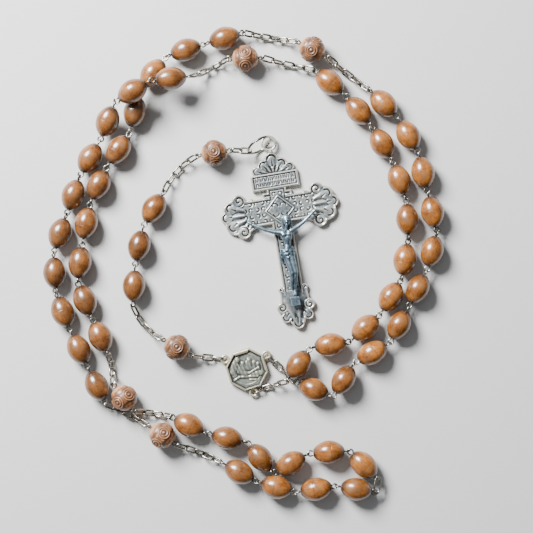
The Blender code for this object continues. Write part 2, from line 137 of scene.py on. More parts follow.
def asPiece(name, shape, material):
    bmesh.ops.recalc_face_normals(shape, faces=shape.faces)
    mesh = bpy.data.meshes.new(name)
    shape.to_mesh(mesh)
    shape.free()
    mesh.shade_smooth()
    if material:
        mesh.materials.append(material)
    piece = bpy.data.objects.new(name, mesh)
    bpy.context.scene.collection.objects.link(piece)
    return piece


# finishes
def newMaterial(name):
    material = bpy.data.materials.new(name)
    material.use_nodes = True
    tree = material.node_tree
    return material, tree, tree.nodes["Principled BSDF"]


def attribute(tree, name, output):
    return put(tree, "ShaderNodeAttribute", attribute_name=name).outputs[output]


def ramp(tree, value, stops):
    node = put(tree, "ShaderNodeValToRGB", {0: value})
    for i, (place, colour) in enumerate(stops):
        stop = node.color_ramp.elements[i] if i < 2 else node.color_ramp.elements.new(place)
        stop.position, stop.color = place, (*colour, 1)
    return node.outputs[0]


def noise(tree, vector, scale, detail=3.0, roughness=0.5):
    return put(tree, "ShaderNodeTexNoise", {"Vector": vector, "Scale": scale, "Detail": detail,
                                            "Roughness": roughness}).outputs[0]


def mix(tree, factor, first, second, blend="MIX"):
    node = put(tree, "ShaderNodeMix", {0: factor, 6: first, 7: second}, data_type="RGBA", blend_type=blend)
    return node.outputs[2]


def span(tree, value, low, high, to=(0.0, 1.0)):
    return put(tree, "ShaderNodeMapRange", {0: value, 1: low, 2: high, 3: to[0], 4: to[1]}).outputs[0]


def bump(tree, shader, height, strength, distance):
    node = put(tree, "ShaderNodeBump", {"Strength": strength, "Distance": distance, "Height": height})
    tree.links.new(node.outputs[0], shader.inputs["Normal"])


woodLook = {
    "dark": (0.085, 0.028, 0.007),
    "middle": (0.182, 0.066, 0.018),
    "light": (0.305, 0.118, 0.034),
    "dust": (0.13, 0.082, 0.046),
    "grain": 0.55,
    "roughness": (0.25, 0.36),
}


def woodMaterial(name, look, halfLength):
    # grain is the bead's own place in millimetres, and tone is one number for each bead
    material, tree, shader = newMaterial(name)
    grain = attribute(tree, "grain", "Vector")
    tone = attribute(tree, "tone", "Fac")
    offset = put(tree, "ShaderNodeCombineXYZ", {0: calc(tree, "MULTIPLY", tone, 61.0), 2: tone}).outputs[0]
    placed = vecCalc(tree, "ADD", grain, offset)
    drawnOut = vecCalc(tree, "MULTIPLY", placed, Vector((1, 1, 0.4)))
    streaks = noise(tree, drawnOut, look["grain"] * 3.2, 6.0, 0.68)
    clouds = noise(tree, placed, 0.30, 2.0)
    value = calc(tree, "ADD", calc(tree, "MULTIPLY", streaks, 0.40), calc(tree, "MULTIPLY", clouds, 0.60))
    colour = ramp(tree, value, ((0.34, look["dark"]), (0.66, look["light"]), (0.50, look["middle"])))
    dusty = span(tree, noise(tree, placed, 0.42, 4.0, 0.75), 0.48, 0.72, (0.0, 0.75))
    colour = mix(tree, dusty, colour, (*look["dust"], 1))
    where = put(tree, "ShaderNodeTexCoord").outputs["Object"]
    across = put(tree, "ShaderNodeSeparateXYZ", {0: where}).outputs[0]
    side = span(tree, across, -0.05, 0.045)
    bright = calc(tree, "ADD", calc(tree, "MULTIPLY", tone, 0.55), calc(tree, "MULTIPLY", side, 0.45))
    hue = put(tree, "ShaderNodeHueSaturation", {"Color": colour, "Hue": 0.5})
    tree.links.new(span(tree, bright, 0.0, 1.0, (0.58, 1.55)), hue.inputs["Value"])
    tree.links.new(span(tree, side, 0.0, 1.0, (1.03, 1.06)), hue.inputs["Saturation"])
    height = put(tree, "ShaderNodeSeparateXYZ", {0: grain}).outputs[2]
    end = calc(tree, "ABSOLUTE", height)
    # painted shade: each bead is darkened over the last 1.5 mm towards both of its ends
    ends = span(tree, end, halfLength - 1.5, halfLength - 0.25, (0.0, 0.85))
    nicks = span(tree, noise(tree, placed, 1.5, 3.0, 0.7), 0.68, 0.74)
    fromLine = calc(tree, "ABSOLUTE", calc(tree, "SUBTRACT", height, tone))
    turnedLine = calc(tree, "MULTIPLY", span(tree, fromLine, 0.14, 0.05), span(tree, tone, 0.35, 0.75))
    # worn first takes the painted shade on the bead ends; the nicks and the lathe line mixed in next are
    # marks the wood really has
    worn = mix(tree, ends, hue.outputs[0], (0.024, 0.011, 0.007, 1))
    worn = mix(tree, calc(tree, "MULTIPLY", nicks, 0.55), worn, (0.035, 0.014, 0.008, 1))
    worn = mix(tree, calc(tree, "MULTIPLY", turnedLine, 0.5), worn, (0.05, 0.02, 0.010, 1))
    tree.links.new(worn, shader.inputs["Base Color"])
    rough = calc(tree, "ADD", calc(tree, "MULTIPLY", streaks, 0.5), calc(tree, "MULTIPLY", dusty, 0.4))
    tree.links.new(span(tree, rough, 0.15, 0.6, look["roughness"]), shader.inputs["Roughness"])
    shader.inputs["Coat Weight"].default_value = 0.55
    shader.inputs["Coat Roughness"].default_value = 0.14
    relief = calc(tree, "ADD", nicks, turnedLine)
    bump(tree, shader, calc(tree, "SUBTRACT", calc(tree, "MULTIPLY", streaks, 0.6), relief), 0.45, 0.0001)
    return material


carvedLook = dict(woodLook, middle=(0.215, 0.083, 0.027), light=(0.37, 0.155, 0.055), roughness=(0.30, 0.46))


def carvedMaterial(name, look):
    material, tree, shader = newMaterial(name)
    grain = attribute(tree, "grain", "Vector")
    tone = attribute(tree, "tone", "Fac")
    cut = attribute(tree, "cut", "Fac")
    streaks = noise(tree, vecCalc(tree, "ADD", grain, tone), 1.4, 5.0, 0.6)
    colour = ramp(tree, streaks, ((0.3, look["dark"]), (0.72, look["light"]), (0.48, look["middle"])))
    deep = mix(tree, span(tree, cut, 0.30, 0.85, (0.0, 0.85)), colour, (0.045, 0.018, 0.009, 1))
    crest = mix(tree, span(tree, cut, 0.22, 0.0, (0.0, 0.6)), deep, (0.48, 0.27, 0.14, 1))
    hue = put(tree, "ShaderNodeHueSaturation", {"Color": crest, "Hue": 0.5, "Saturation": 0.95})
    tree.links.new(span(tree, tone, 0.0, 1.0, (0.8, 1.2)), hue.inputs["Value"])
    tree.links.new(hue.outputs[0], shader.inputs["Base Color"])
    rough = calc(tree, "ADD", streaks, cut)
    tree.links.new(span(tree, rough, 0.3, 1.4, look["roughness"]), shader.inputs["Roughness"])
    shader.inputs["Coat Weight"].default_value = 0.2
    shader.inputs["Coat Roughness"].default_value = 0.2
    bump(tree, shader, streaks, 0.3, 0.00006)
    return material


def metalMaterial(name, dark, middle, light, roughness, grit=1.0, scale=900.0):
    material, tree, shader = newMaterial(name)
    place = put(tree, "ShaderNodeTexCoord").outputs["Object"]
    fine = noise(tree, place, scale, 4.0, 0.6)
    broad = noise(tree, place, scale * 0.16, 2.0)
    value = calc(tree, "ADD", calc(tree, "MULTIPLY", fine, 0.6), calc(tree, "MULTIPLY", broad, 0.4))
    colour = ramp(tree, value, ((0.34, dark), (0.66, light), (0.48, middle)))
    tree.links.new(colour, shader.inputs["Base Color"])
    shader.inputs["Metallic"].default_value = 1.0
    tree.links.new(span(tree, fine, 0.3, 0.7, roughness), shader.inputs["Roughness"])
    bump(tree, shader, fine, 0.3 * grit, 0.00006)
    return material


def reliefMaterial(name, low, field, high, roughness, metallic, grit, scale=1300.0):
    # the piece's own worn value goes from 0 in the grooves to 1 on the ridges
    material, tree, shader = newMaterial(name)
    place = put(tree, "ShaderNodeTexCoord").outputs["Object"]
    worn = attribute(tree, "worn", "Fac")
    fine = noise(tree, place, scale, 4.0, 0.65)
    broad = noise(tree, place, scale * 0.12, 2.0)
    soft = calc(tree, "ADD", worn, span(tree, fine, 0.3, 0.7, (-0.16, 0.16)))
    soft = calc(tree, "ADD", soft, span(tree, broad, 0.3, 0.7, (-0.10, 0.10)))
    colour = ramp(tree, soft, ((0.22, low), (0.85, high), (0.47, field)))
    tree.links.new(colour, shader.inputs["Base Color"])
    shader.inputs["Metallic"].default_value = metallic
    tree.links.new(span(tree, soft, 0.1, 0.9, roughness), shader.inputs["Roughness"])
    bump(tree, shader, fine, grit, 0.00007)
    return material


aveWood = woodMaterial("aveWood", woodLook, 4.7)
carvedWood = carvedMaterial("carvedWood", carvedLook)
linkMetal = metalMaterial("linkMetal", (0.05, 0.044, 0.034), (0.28, 0.262, 0.22), (0.62, 0.59, 0.52),
                          (0.34, 0.20))
eyeMetal = metalMaterial("eyeMetal", (0.05, 0.045, 0.04), (0.24, 0.23, 0.20), (0.50, 0.48, 0.43),
                         (0.38, 0.22))
ringMetal = metalMaterial("ringMetal", (0.14, 0.13, 0.105), (0.34, 0.33, 0.285), (0.62, 0.60, 0.55),
                          (0.32, 0.2), 0.5)
crossMetal = reliefMaterial("crossMetal", (0.016, 0.018, 0.020), (0.15, 0.176, 0.185), (0.50, 0.48, 0.425),
                            (0.54, 0.32), 0.62, 0.35)
medalMetal = reliefMaterial("medalMetal", (0.040, 0.044, 0.040), (0.19, 0.21, 0.19), (0.50, 0.455, 0.32),
                            (0.54, 0.34), 0.65, 0.3)
corpusMetal = reliefMaterial("corpusMetal", (0.008, 0.011, 0.014), (0.082, 0.118, 0.145), (0.36, 0.47, 0.55),
                             (0.44, 0.28), 0.8, 0.25)
print("materials ready")

# the route of the beads and chains, as the solid model has it

route = {
    "aveLength": 9.4 * mm,
    "aveWidth": 7.0 * mm,
    "paterWidth": 7.9 * mm,
    "pinWire": 0.5 * mm,
    "eyeRadius": 0.8 * mm,
    "neck": 0.15 * mm,
    "wireGap": 0.28 * mm,
    "linkWire": 0.56 * mm,
    "linkWidth": 2.4 * mm,
    "leastPitch": 1.72,  # of a bead's width
    "ringHookShare": 0.56,
    "eyeHookShare": 0.94,
    "chainHeight": 1.25 * mm,
    "pendantBow": 1.4 * mm,
    "rightOuter": dict(start=(1.18, -0.29), headings=(-22, 57, 29, 63, 63, 75, 104, 103, 120, 136)),
    "rightInner": dict(start=(1.65, 7.40), headings=(-39, -50, -59, -70, -87, -100, -121, -138, -171, -125)),
    "leftInner": dict(start=(-0.07, 8.31), headings=(-164, -162, -128, -103, -124, -115, -101, -97, -68, -66),
                      reach={2: 0.846 * mm, 3: 0.846 * mm, 7: -0.362 * mm, 8: -0.362 * mm, 9: -0.362 * mm}),
    "leftOuter": dict(start=(-3.48, -0.84), headings=(116, 116, 111, 93, 71, 71, 60, 66, 30, 8)),
    "bottomOut": dict(start=(-1.88, -1.15), headings=(-25, -12, -50, 29, 4, -44)),
    "bottomBack": dict(start=(3.19, -3.02), headings=(171, -171, 165, 151)),
    "pendant": dict(start=(-2.81, 1.57), headings=(87, 78, 59)),
    "lifts": {"leftOuter": {8: 4.1 * mm, 9: 6.4 * mm, 10: 2.8 * mm}, "rightInner": {10: 1.3 * mm},
              "rightOuter": {0: -1.2 * mm, 1: 1.3 * mm}},
    "paters": {  # middle, heading
        "pendant_lower": ((-1.72, 0.55), 150), "pendant_upper": ((-0.80, 5.34), 9),
        "top_outer": ((1.61, 7.89), 153), "top_inner": ((-0.04, 7.67), 2),
        "left_upper": ((-3.02, -0.69), -52), "left_lower": ((-2.08, -1.61), 146)},
    "loopPaters": {  # the hooks that its chains run from and to, and their links
        "top_outer": (("rightOuter", -1), ("leftInner", 0), (5, 6)),
        "top_inner": (("leftOuter", -1), ("rightInner", 0), (5, 5)),
        "left_upper": (("leftInner", -1), ("bottomOut", 0), (4, 4)),
        "left_lower": (("bottomBack", -1), ("leftOuter", 0), (5, 5))},
    "rows": {
        "rightOuter": (0, 5, 10), "rightInner": (0, 5, 10), "leftInner": (0, 2, 4, 6, 8, 10),
        "leftOuter": (0, 1, 3, 5, 7, 10), "bottomOut": (0, 2, 4, 5), "bottomBack": (1, 2, 4)},
}
standOff = route["eyeRadius"] + route["neck"]
eyeHook = route["pinWire"] + route["wireGap"]
pitch = max(route["aveLength"] + 2 * standOff + eyeHook, route["leastPitch"] * route["aveWidth"])
paterPitch = route["paterWidth"] + 2 * standOff + eyeHook

medal = {
    "across": 12.9 * mm,
    "thickness": 2.2 * mm,
    "faceDepth": 0.7 * mm,
    "lugRadius": 1.05 * mm,
    "lugWire": 0.75 * mm,
    "lugs": {"pendant": 156, "outer": 36, "inner": -74},
    "firstCorner": 85,
}
jumpRing = {"width": 7.6 * mm, "wire": 0.75 * mm, "lean": 70, "heading": 33, "loopTurn": -45}
cross = {
    "heading": -80.4,
    "loopRadius": 2.05 * mm,
    "loopWire": 0.75 * mm,
    "loopHeight": 1.45 * mm,
    "loopNeck": 0.7 * mm,
    "loopPlace": (0.537, 5.595),
}


def toward(heading):
    return Vector((math.cos(math.radians(heading)), math.sin(math.radians(heading)), 0))


def spot(pitches, height):
    return Vector((pitches[0] * pitch, pitches[1] * pitch, height))


def walk(name):
    strand = route[name]
    hooks = [spot(strand["start"], route["aveWidth"] / 2)]
    for i, heading in enumerate(strand["headings"]):
        hooks.append(hooks[-1] + toward(heading) * (pitch + strand.get("reach", {}).get(i, 0)))
    for i, lift in route["lifts"].get(name, {}).items():
        hooks[i].z += lift
    return hooks


def chain(start, end, links, middle=route["chainHeight"], bow=0.0):
    aside = (end - start).cross(Vector((0, 0, 1))).normalized() * bow
    sag = middle - (start.z + end.z) / 2
    hooks = []
    for i in range(links + 1):
        t = i / links
        hooks.append(start.lerp(end, t) + 4 * t * (1 - t) * (aside + Vector((0, 0, sag))))
    return hooks


def lugCentre(name):
    edge = medal["across"] / 2 * math.cos(math.pi / 8)
    centre = toward(medal["lugs"][name]) * (edge + medal["lugRadius"] + medal["lugWire"] * 0.25)
    centre.z = medal["thickness"] / 2
    return centre


def lugHook(name, target):
    pull = target - lugCentre(name)
    pull.z = 0
    wires = (medal["lugWire"] + route["linkWire"]) / 2 + route["wireGap"]
    return lugCentre(name) + pull.normalized() * (medal["lugRadius"] - wires / 2)


crossFrame = (Matrix.Translation(spot(cross["loopPlace"], cross["loopHeight"]))
              @ Matrix.Rotation(math.radians(cross["heading"] + 90), 4, "Z"))


def ringPoint(turn, radius=jumpRing["width"] / 2, aside=0.0):
    lean = math.radians(jumpRing["lean"])
    high = toward(jumpRing["heading"] + 90) * math.cos(lean) + Vector((0, 0, math.sin(lean)))
    out = toward(jumpRing["heading"])

    def onCircle(angle, reach):
        a = math.radians(angle)
        return (out * math.cos(a) + high * math.sin(a)) * reach

    middle = crossFrame.translation - onCircle(jumpRing["loopTurn"], jumpRing["width"] / 2)
    return middle + onCircle(turn, radius) + out.cross(high) * aside


def allHooks():
    hooks = {name: walk(name) for name in route["rows"]}
    hooks["pendant"] = walk("pendant")
    for name, (middle, heading) in route["paters"].items():
        centre, reach = spot(middle, route["paterWidth"] / 2), toward(heading) * paterPitch / 2
        hooks[name] = [centre - reach, centre + reach]
    outer, inner = hooks["rightOuter"][0], hooks["rightInner"][-1]
    lower, upper = hooks["pendant_lower"], hooks["pendant_upper"]
    hooks["medalOuter"] = chain(lugHook("outer", outer), outer, 4)
    hooks["medalInner"] = chain(lugHook("inner", inner), inner, 4)
    bow = -route["pendantBow"]
    hooks["medalLinks"] = chain(lugHook("pendant", lower[0]), lower[0], 3)
    hooks["lowerLinks"] = chain(lower[1], hooks["pendant"][0], 4, bow=bow)
    hooks["upperLinks"] = chain(hooks["pendant"][-1], upper[0], 5, bow=bow)
    inward = (ringPoint(0) - ringPoint(180)).normalized()
    clear = (jumpRing["wire"] + route["linkWire"]) / 2 + route["wireGap"]
    ringHook = ringPoint(180) + inward * clear * route["ringHookShare"]
    hooks["ringLinks"] = chain(upper[1], ringHook, 2, middle=(upper[1].z + ringHook.z) / 2)
    return hooks


hooks = allHooks()


def bodyOf(node):
    return next(body for body, names in bodies.items() if node in names)


# trees for what repeats: beads, wire eyes and links
def beadTree():
    tree, given, sink = newTree("ovalBead", {
        "Length": ("Float", route["aveLength"]), "Width": ("Float", route["aveWidth"]),
        "Bore Depth": ("Float", 0.5 * mm), "Rings": ("Int", 28), "Sides": ("Int", 36),
        "Size Spread": ("Float", 0.035), "Seed": ("Int", 1), "Material": ("Material", None)})
    ball = put(tree, "GeometryNodeMeshUVSphere",
               {"Segments": given["Sides"], "Rings": given["Rings"], "Radius": 1.0})
    at = put(tree, "GeometryNodeInputPosition").outputs[0]
    parts = put(tree, "ShaderNodeSeparateXYZ", {0: at}).outputs
    flat = put(tree, "ShaderNodeCombineXYZ", {0: parts[0], 1: parts[1]}).outputs[0]
    size = calc(tree, "ABSOLUTE", parts[2])
    swell = calc(tree, "POWER", calc(tree, "MULTIPLY", size, 0.94), 1.85)
    swell = calc(tree, "POWER", calc(tree, "SUBTRACT", 1.0, swell), 0.60)
    wide = calc(tree, "MULTIPLY", swell, calc(tree, "MULTIPLY", given["Width"], 0.5))
    outward = vecCalc(tree, "SCALE", vecCalc(tree, "NORMALIZE", flat), Vector())
    tree.links.new(wide, outward.node.inputs["Scale"])
    pole = calc(tree, "GREATER_THAN", size, 0.9995)
    half = calc(tree, "SUBTRACT", calc(tree, "MULTIPLY", given["Length"], 0.5),
                calc(tree, "MULTIPLY", pole, given["Bore Depth"]))
    up = put(tree, "ShaderNodeCombineXYZ", {2: calc(tree, "MULTIPLY", parts[2], half)}).outputs[0]
    shaped = put(tree, "GeometryNodeSetPosition",
                 {"Geometry": ball.outputs[0], "Position": vecCalc(tree, "ADD", outward, up)}).outputs[0]
    grain = vecCalc(tree, "MULTIPLY", put(tree, "GeometryNodeInputPosition").outputs[0],
                    Vector((1, 1, 1)) / mm)
    marked = put(tree, "GeometryNodeStoreNamedAttribute",
                 {"Geometry": shaped, "Name": "grain", "Value": grain},
                 data_type="FLOAT_VECTOR", domain="POINT").outputs[0]
    grown = spread(tree, given["Geometry"], marked, given["Seed"], given["Size Spread"])
    close(tree, grown, given["Material"], sink)
    return tree


def wireAlong(tree, path, wire, sides):
    radius = calc(tree, "MULTIPLY", wire, 0.5)
    ring = put(tree, "GeometryNodeCurvePrimitiveCircle", {"Resolution": sides, "Radius": radius}).outputs[0]
    return put(tree, "GeometryNodeCurveToMesh",
               {"Curve": path, "Profile Curve": ring, "Fill Caps": True}).outputs[0]


def eyeTree():
    tree, given, sink = newTree("wireEye", {
        "Eye Radius": ("Float", route["eyeRadius"]), "Wire": ("Float", route["pinWire"]),
        "Opening": ("Float", math.radians(24)), "Neck Length": ("Float", 5.0 * mm), "Sides": ("Int", 10),
        "Steps": ("Int", 22), "Seed": ("Int", 1), "Material": ("Material", None)})
    start = calc(tree, "ADD", given["Opening"], math.radians(-96))
    sweep = calc(tree, "SUBTRACT", math.radians(354), given["Opening"])
    arc = put(tree, "GeometryNodeCurveArc", {"Resolution": given["Steps"], "Radius": given["Eye Radius"],
                                             "Start Angle": start, "Sweep Angle": sweep}, mode="RADIUS")
    bow = put(tree, "GeometryNodeTransform",
              {"Geometry": arc.outputs[0], "Rotation": (math.pi / 2, 0, 0)}).outputs[0]
    topHeight = calc(tree, "MULTIPLY", given["Eye Radius"], -0.97)
    eyeFoot = calc(tree, "MULTIPLY", given["Eye Radius"], -1.0)
    footHeight = calc(tree, "SUBTRACT", eyeFoot, given["Neck Length"])
    neckTop = put(tree, "ShaderNodeCombineXYZ", {2: topHeight}).outputs[0]
    neckFoot = put(tree, "ShaderNodeCombineXYZ", {2: footHeight}).outputs[0]
    neck = put(tree, "GeometryNodeCurvePrimitiveLine", {"Start": neckTop, "End": neckFoot}).outputs[0]
    both = put(tree, "GeometryNodeJoinGeometry")
    tree.links.new(wireAlong(tree, bow, given["Wire"], given["Sides"]), both.inputs[0])
    tree.links.new(wireAlong(tree, neck, given["Wire"], given["Sides"]), both.inputs[0])
    close(tree, spread(tree, given["Geometry"], both.outputs[0], given["Seed"], 0.0), given["Material"], sink)
    return tree


linkLook = {"inside": 3.05 * mm, "wire": 0.62 * mm}


def linkTree():
    tree, given, sink = newTree("ovalLink", {
        "Inside Length": ("Float", linkLook["inside"]), "Width": ("Float", route["linkWidth"]),
        "Wire": ("Float", linkLook["wire"]), "Steps": ("Int", 28), "Sides": ("Int", 10), "Seed": ("Int", 1),
        "Material": ("Material", None)})
    circle = put(tree, "GeometryNodeCurvePrimitiveCircle",
                 {"Resolution": given["Steps"], "Radius": 1.0}).outputs[0]
    parts = put(tree, "ShaderNodeSeparateXYZ", {0: put(tree, "GeometryNodeInputPosition").outputs[0]}).outputs
    bend = calc(tree, "MULTIPLY", calc(tree, "SUBTRACT", given["Width"], given["Wire"]), 0.5)
    half = calc(tree, "MULTIPLY", calc(tree, "ADD", given["Inside Length"], given["Wire"]), 0.5)
    straight = calc(tree, "SUBTRACT", half, bend)
    end = calc(tree, "SIGN", calc(tree, "SUBTRACT", parts[1], 0.001))
    along = calc(tree, "ADD", calc(tree, "MULTIPLY", parts[1], bend), calc(tree, "MULTIPLY", end, straight))
    across = calc(tree, "MULTIPLY", parts[0], bend)
    where = put(tree, "ShaderNodeCombineXYZ", {0: across, 2: along}).outputs[0]
    oval = put(tree, "GeometryNodeSetPosition", {"Geometry": circle, "Position": where}).outputs[0]
    wire = wireAlong(tree, oval, given["Wire"], given["Sides"])
    close(tree, spread(tree, given["Geometry"], wire, given["Seed"], 0.0), given["Material"], sink)
    return tree


trees = {"bead": beadTree(), "eye": eyeTree(), "link": linkTree()}
roller = random.Random(11)


def turnOf(along, roll):
    # local Z runs along, and local X across the wire loop, rolled about it
    level = along.cross(Vector((0, 0, 1))).normalized()
    side = level * math.cos(math.radians(roll)) + level.cross(along) * math.sin(math.radians(roll))
    return Matrix((side, along.cross(side), along)).transposed().to_quaternion()


def eyePlace(hook, outward, roll, other=route["pinWire"]):
    reach = (route["pinWire"] + other) / 2 * route["eyeHookShare"] / 2
    return hook + outward * (reach - route["eyeRadius"]), turnOf(outward, roll), Vector((1, 1, 1))


def beadPlace(start, end):
    along = (end - start).normalized()
    return (start + end) / 2, turnOf(along, roller.uniform(0, 360)), Vector((1, 1, 1))


def linkPlace(start, end, roll):
    along = (end - start).normalized()
    reach = ((end - start).length + linkLook["wire"]) / (linkLook["inside"] + linkLook["wire"])
    return (start + end) / 2, turnOf(along, roll), Vector((1, 1, reach))


def pinPlaces(start, end, rolls, others=(route["pinWire"],) * 2):
    along = (end - start).normalized()
    return [eyePlace(start, -along, rolls[0], others[0]), eyePlace(end, along, rolls[1], others[1])]


def linkPlaces(points, firstRoll=45):
    places = []
    for i, (start, end) in enumerate(zip(points, points[1:])):
        roll = firstRoll if i % 2 == 0 else firstRoll - 90
        places.append(linkPlace(start, end, roll + roller.uniform(-12, 12)))
    return places


# the loop of beads, one set of pieces for each body that folds

beadsOf, eyesOf, linksOf = {}, {}, {}
rowNodes, chainNodes = {}, {}
snake = {"rightOuter": "right_outer", "rightInner": "right_inner", "leftInner": "left_inner",
         "leftOuter": "left_outer", "bottomOut": "bottom_out", "bottomBack": "bottom_back"}


def addBead(body, start, end, jitter):
    beadsOf.setdefault(body, []).append(beadPlace(start, end))
    eyesOf.setdefault(body, []).extend(pinPlaces(start, end, (-jitter[0], 90 + jitter[1])))


hookJitter = {name: [roller.uniform(-22, 22) for _ in points] for name, points in hooks.items()}
for name, cuts in route["rows"].items():
    points, jitter = hooks[name], hookJitter[name]
    for row, (first, last) in enumerate(zip(cuts, cuts[1:])):
        node = f"{snake[name]}_aves_{row + 1}"
        body = bodyOf(node)
        rowNodes.setdefault(body, []).append(node)
        for i in range(first, last):
            addBead(body, points[i], points[i + 1], (jitter[i], jitter[i + 1]))
turnBody = bodyOf("bottom_turn_aves")
rowNodes.setdefault(turnBody, []).append("bottom_turn_aves")
addBead(turnBody, hooks["bottomOut"][5], hooks["bottomOut"][6], (0, 0))
addBead(turnBody, hooks["bottomBack"][0], hooks["bottomBack"][1], (0, 0))
linksOf[turnBody] = [linkPlace(hooks["bottomOut"][6], hooks["bottomBack"][0], 20)]
for name, (before, after, links) in route["loopPaters"].items():
    body = bodyOf(name + "_chain")
    chainNodes.setdefault(body, []).append(name + "_chain")
    start, end = hooks[name]
    linksOf.setdefault(body, []).extend(linkPlaces(chain(hooks[before[0]][before[1]], start, links[0])))
    linksOf[body].extend(linkPlaces(chain(end, hooks[after[0]][after[1]], links[1]), -45))
    eyesOf[body].extend(pinPlaces(start, end, (30, 60), (linkLook["wire"],) * 2))
root = bodyOf("centre_medal")
for name in ("medalOuter", "medalInner"):
    linksOf[root].extend(linkPlaces(hooks[name], 65))
chainNodes[root] += ["medal_outer_chain", "medal_inner_chain"]

for seed, body in enumerate(sorted(beadsOf)):
    piece = grow("aves." + body, trees["bead"], beadsOf[body], {"Seed": 20 + seed, "Material": aveWood})
    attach(piece, body)
    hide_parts(*rowNodes[body])
for seed, body in enumerate(sorted(eyesOf)):
    piece = grow("eyes." + body, trees["eye"], eyesOf[body], {"Seed": 40 + seed, "Material": eyeMetal})
    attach(piece, body)
for seed, body in enumerate(sorted(linksOf)):
    piece = grow("links." + body, trees["link"], linksOf[body], {"Seed": 60 + seed, "Material": linkMetal})
    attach(piece, body)
    if body in chainNodes:
        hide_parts(*chainNodes[body])
print("loop of beads ready")

# carved beads

carving = {
    "rosettes": 5,
    "rosetteWidth": 4.3,
    "depth": 0.34,
    "steps": (112, 84),
    "plainEnd": 3.25,
    "boreDepth": 0.7,
    "ridges": ((0.86, 0.10, 1.0), (0.53, 0.09, 0.95), (0.0, 0.16, 0.85)),  # place, width and height
    "flatten": 0.985,
}


def smoothStep(value, low, high):
    t = np.clip((value - low) / (high - low), 0, 1)
    return t * t * (3 - 2 * t)


def ridge(value, place, width):
    return np.exp(-((value - place) / width) ** 2)


def markPoints(mesh, name, values):
    mesh.attributes.new(name, "FLOAT", "POINT").data.foreach_set("value", values.astype(np.float32))


def carvedBead(name, start, end, tone):
    radius = route["paterWidth"] / mm / 2
    around, up = carving["steps"]
    theta = np.linspace(0, 2 * np.pi, around, endpoint=False)[None, :]
    phi = np.linspace(0, np.pi, up + 1)[1:-1, None]
    x, y, z = np.sin(phi) * np.cos(theta), np.sin(phi) * np.sin(theta), np.cos(phi) + 0 * theta
    away = np.full(x.shape, 9.0)
    for i in range(carving["rosettes"]):
        turn = 2 * np.pi * i / carving["rosettes"]
        dot = np.clip(x * np.cos(turn) + y * np.sin(turn), -1, 1)
        away = np.minimum(away, np.arccos(dot) * radius)
    r = away / (carving["rosetteWidth"] / 2)
    ridges = sum(high * ridge(r, at, width) for at, width, high in carving["ridges"])
    plain = smoothStep(np.abs(z) * radius, carving["plainEnd"] - 0.3, carving["plainEnd"])
    between = smoothStep(r, 1.0, 1.12)
    corner = np.exp(-(((np.abs(z) * radius - 2.0) / 0.55) ** 2)) * between
    cut = np.clip(1 - ridges, 0, 1) * (1 - between) + between * (0.25 + 0.6 * corner)
    cut = cut * (1 - plain)
    out = radius - carving["depth"] * cut
    points = np.stack([x * out, y * out, z * out * carving["flatten"]], -1).reshape(-1, 3)
    deep = radius - carving["boreDepth"]
    points = np.vstack([points, [[0, 0, deep], [0, 0, -deep]]])
    cuts = np.append(cut.reshape(-1), [1, 1])
    ring = np.arange(around)
    nextRing = (ring + 1) % around
    faces = []
    for row in range(up - 2):
        a, b = row * around, (row + 1) * around
        faces += np.stack([a + ring, b + ring, b + nextRing, a + nextRing], 1).tolist()
    top, last = len(points) - 2, (up - 2) * around
    faces += [[top, int(i), int(j)] for i, j in zip(ring, nextRing)]
    faces += [[top + 1, int(last + j), int(last + i)] for i, j in zip(ring, nextRing)]
    along = (end - start).normalized()
    lying = Matrix.Translation((start + end) / 2) @ turnOf(along, tone * 70).to_matrix().to_4x4()
    mesh = bpy.data.meshes.new(name)
    mesh.from_pydata([tuple(point) for point in points * mm], [], faces)
    grain = mesh.attributes.new("grain", "FLOAT_VECTOR", "POINT")
    grain.data.foreach_set("vector", points.astype(np.float32).ravel())
    markPoints(mesh, "cut", cuts)
    markPoints(mesh, "tone", np.full(len(points), tone))
    mesh.transform(lying)
    mesh.shade_smooth()
    mesh.materials.append(carvedWood)
    piece = bpy.data.objects.new(name, mesh)
    bpy.context.scene.collection.objects.link(piece)
    return piece


for i, name in enumerate(route["paters"]):
    node = name + "_pater"
    piece = carvedBead("carved." + name, *hooks[name], 0.15 + 0.16 * i)
    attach(piece, bodyOf(node))
    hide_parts(node)
print("carved beads ready")

# how each link and eye of the pendant is turned about its length, in degrees
pendantRolls = {
    "medalLinks": (65, -25, 65), "lowerLinks": (-45, 45, -45, 45),
    "upperLinks": (-45, 45, -45, 45, -45), "ringLinks": (-60, 22),
    "lowerPin": (25, 45), "upperPin": (-45, 30), "avePins": ((45, 90), (0, 90), (0, 45)),
}


def pendantPiece(name, tree, places, values, node):
    piece = grow(name, trees[tree], places, values)
    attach(piece, bodyOf(node))
    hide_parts(node)


count = 0
for stretch in ("medalLinks", "lowerLinks", "upperLinks", "ringLinks"):
    points = hooks[stretch]
    for i, roll in enumerate(pendantRolls[stretch]):
        count += 1
        pendantPiece(f"link.{count:02d}", "link", [linkPlace(points[i], points[i + 1], roll)],
                     {"Seed": count, "Material": linkMetal}, f"pendant_link_{count:02d}")
for name in ("lower", "upper"):
    start, end = hooks["pendant_" + name]
    places = pinPlaces(start, end, pendantRolls[name + "Pin"], (linkLook["wire"],) * 2)
    pendantPiece(f"pin.{name}", "eye", places, {"Material": eyeMetal},
                 f"pendant_{name}_pater_pin")
for i in range(3):
    start, end = hooks["pendant"][i:i + 2]
    others = [linkLook["wire"] if i == tip else route["pinWire"] for tip in (0, 2)]
    places = pinPlaces(start, end, pendantRolls["avePins"][i], others)
    pendantPiece(f"pin.ave{i + 1}", "eye", places, {"Material": eyeMetal},
                 f"pendant_ave_pin_{i + 1}")
    pendantPiece(f"ave.{i + 1}", "bead", [beadPlace(start, end)], {"Seed": 80 + i, "Material": aveWood},
                 f"pendant_ave_{i + 1}")
print("pendant ready")

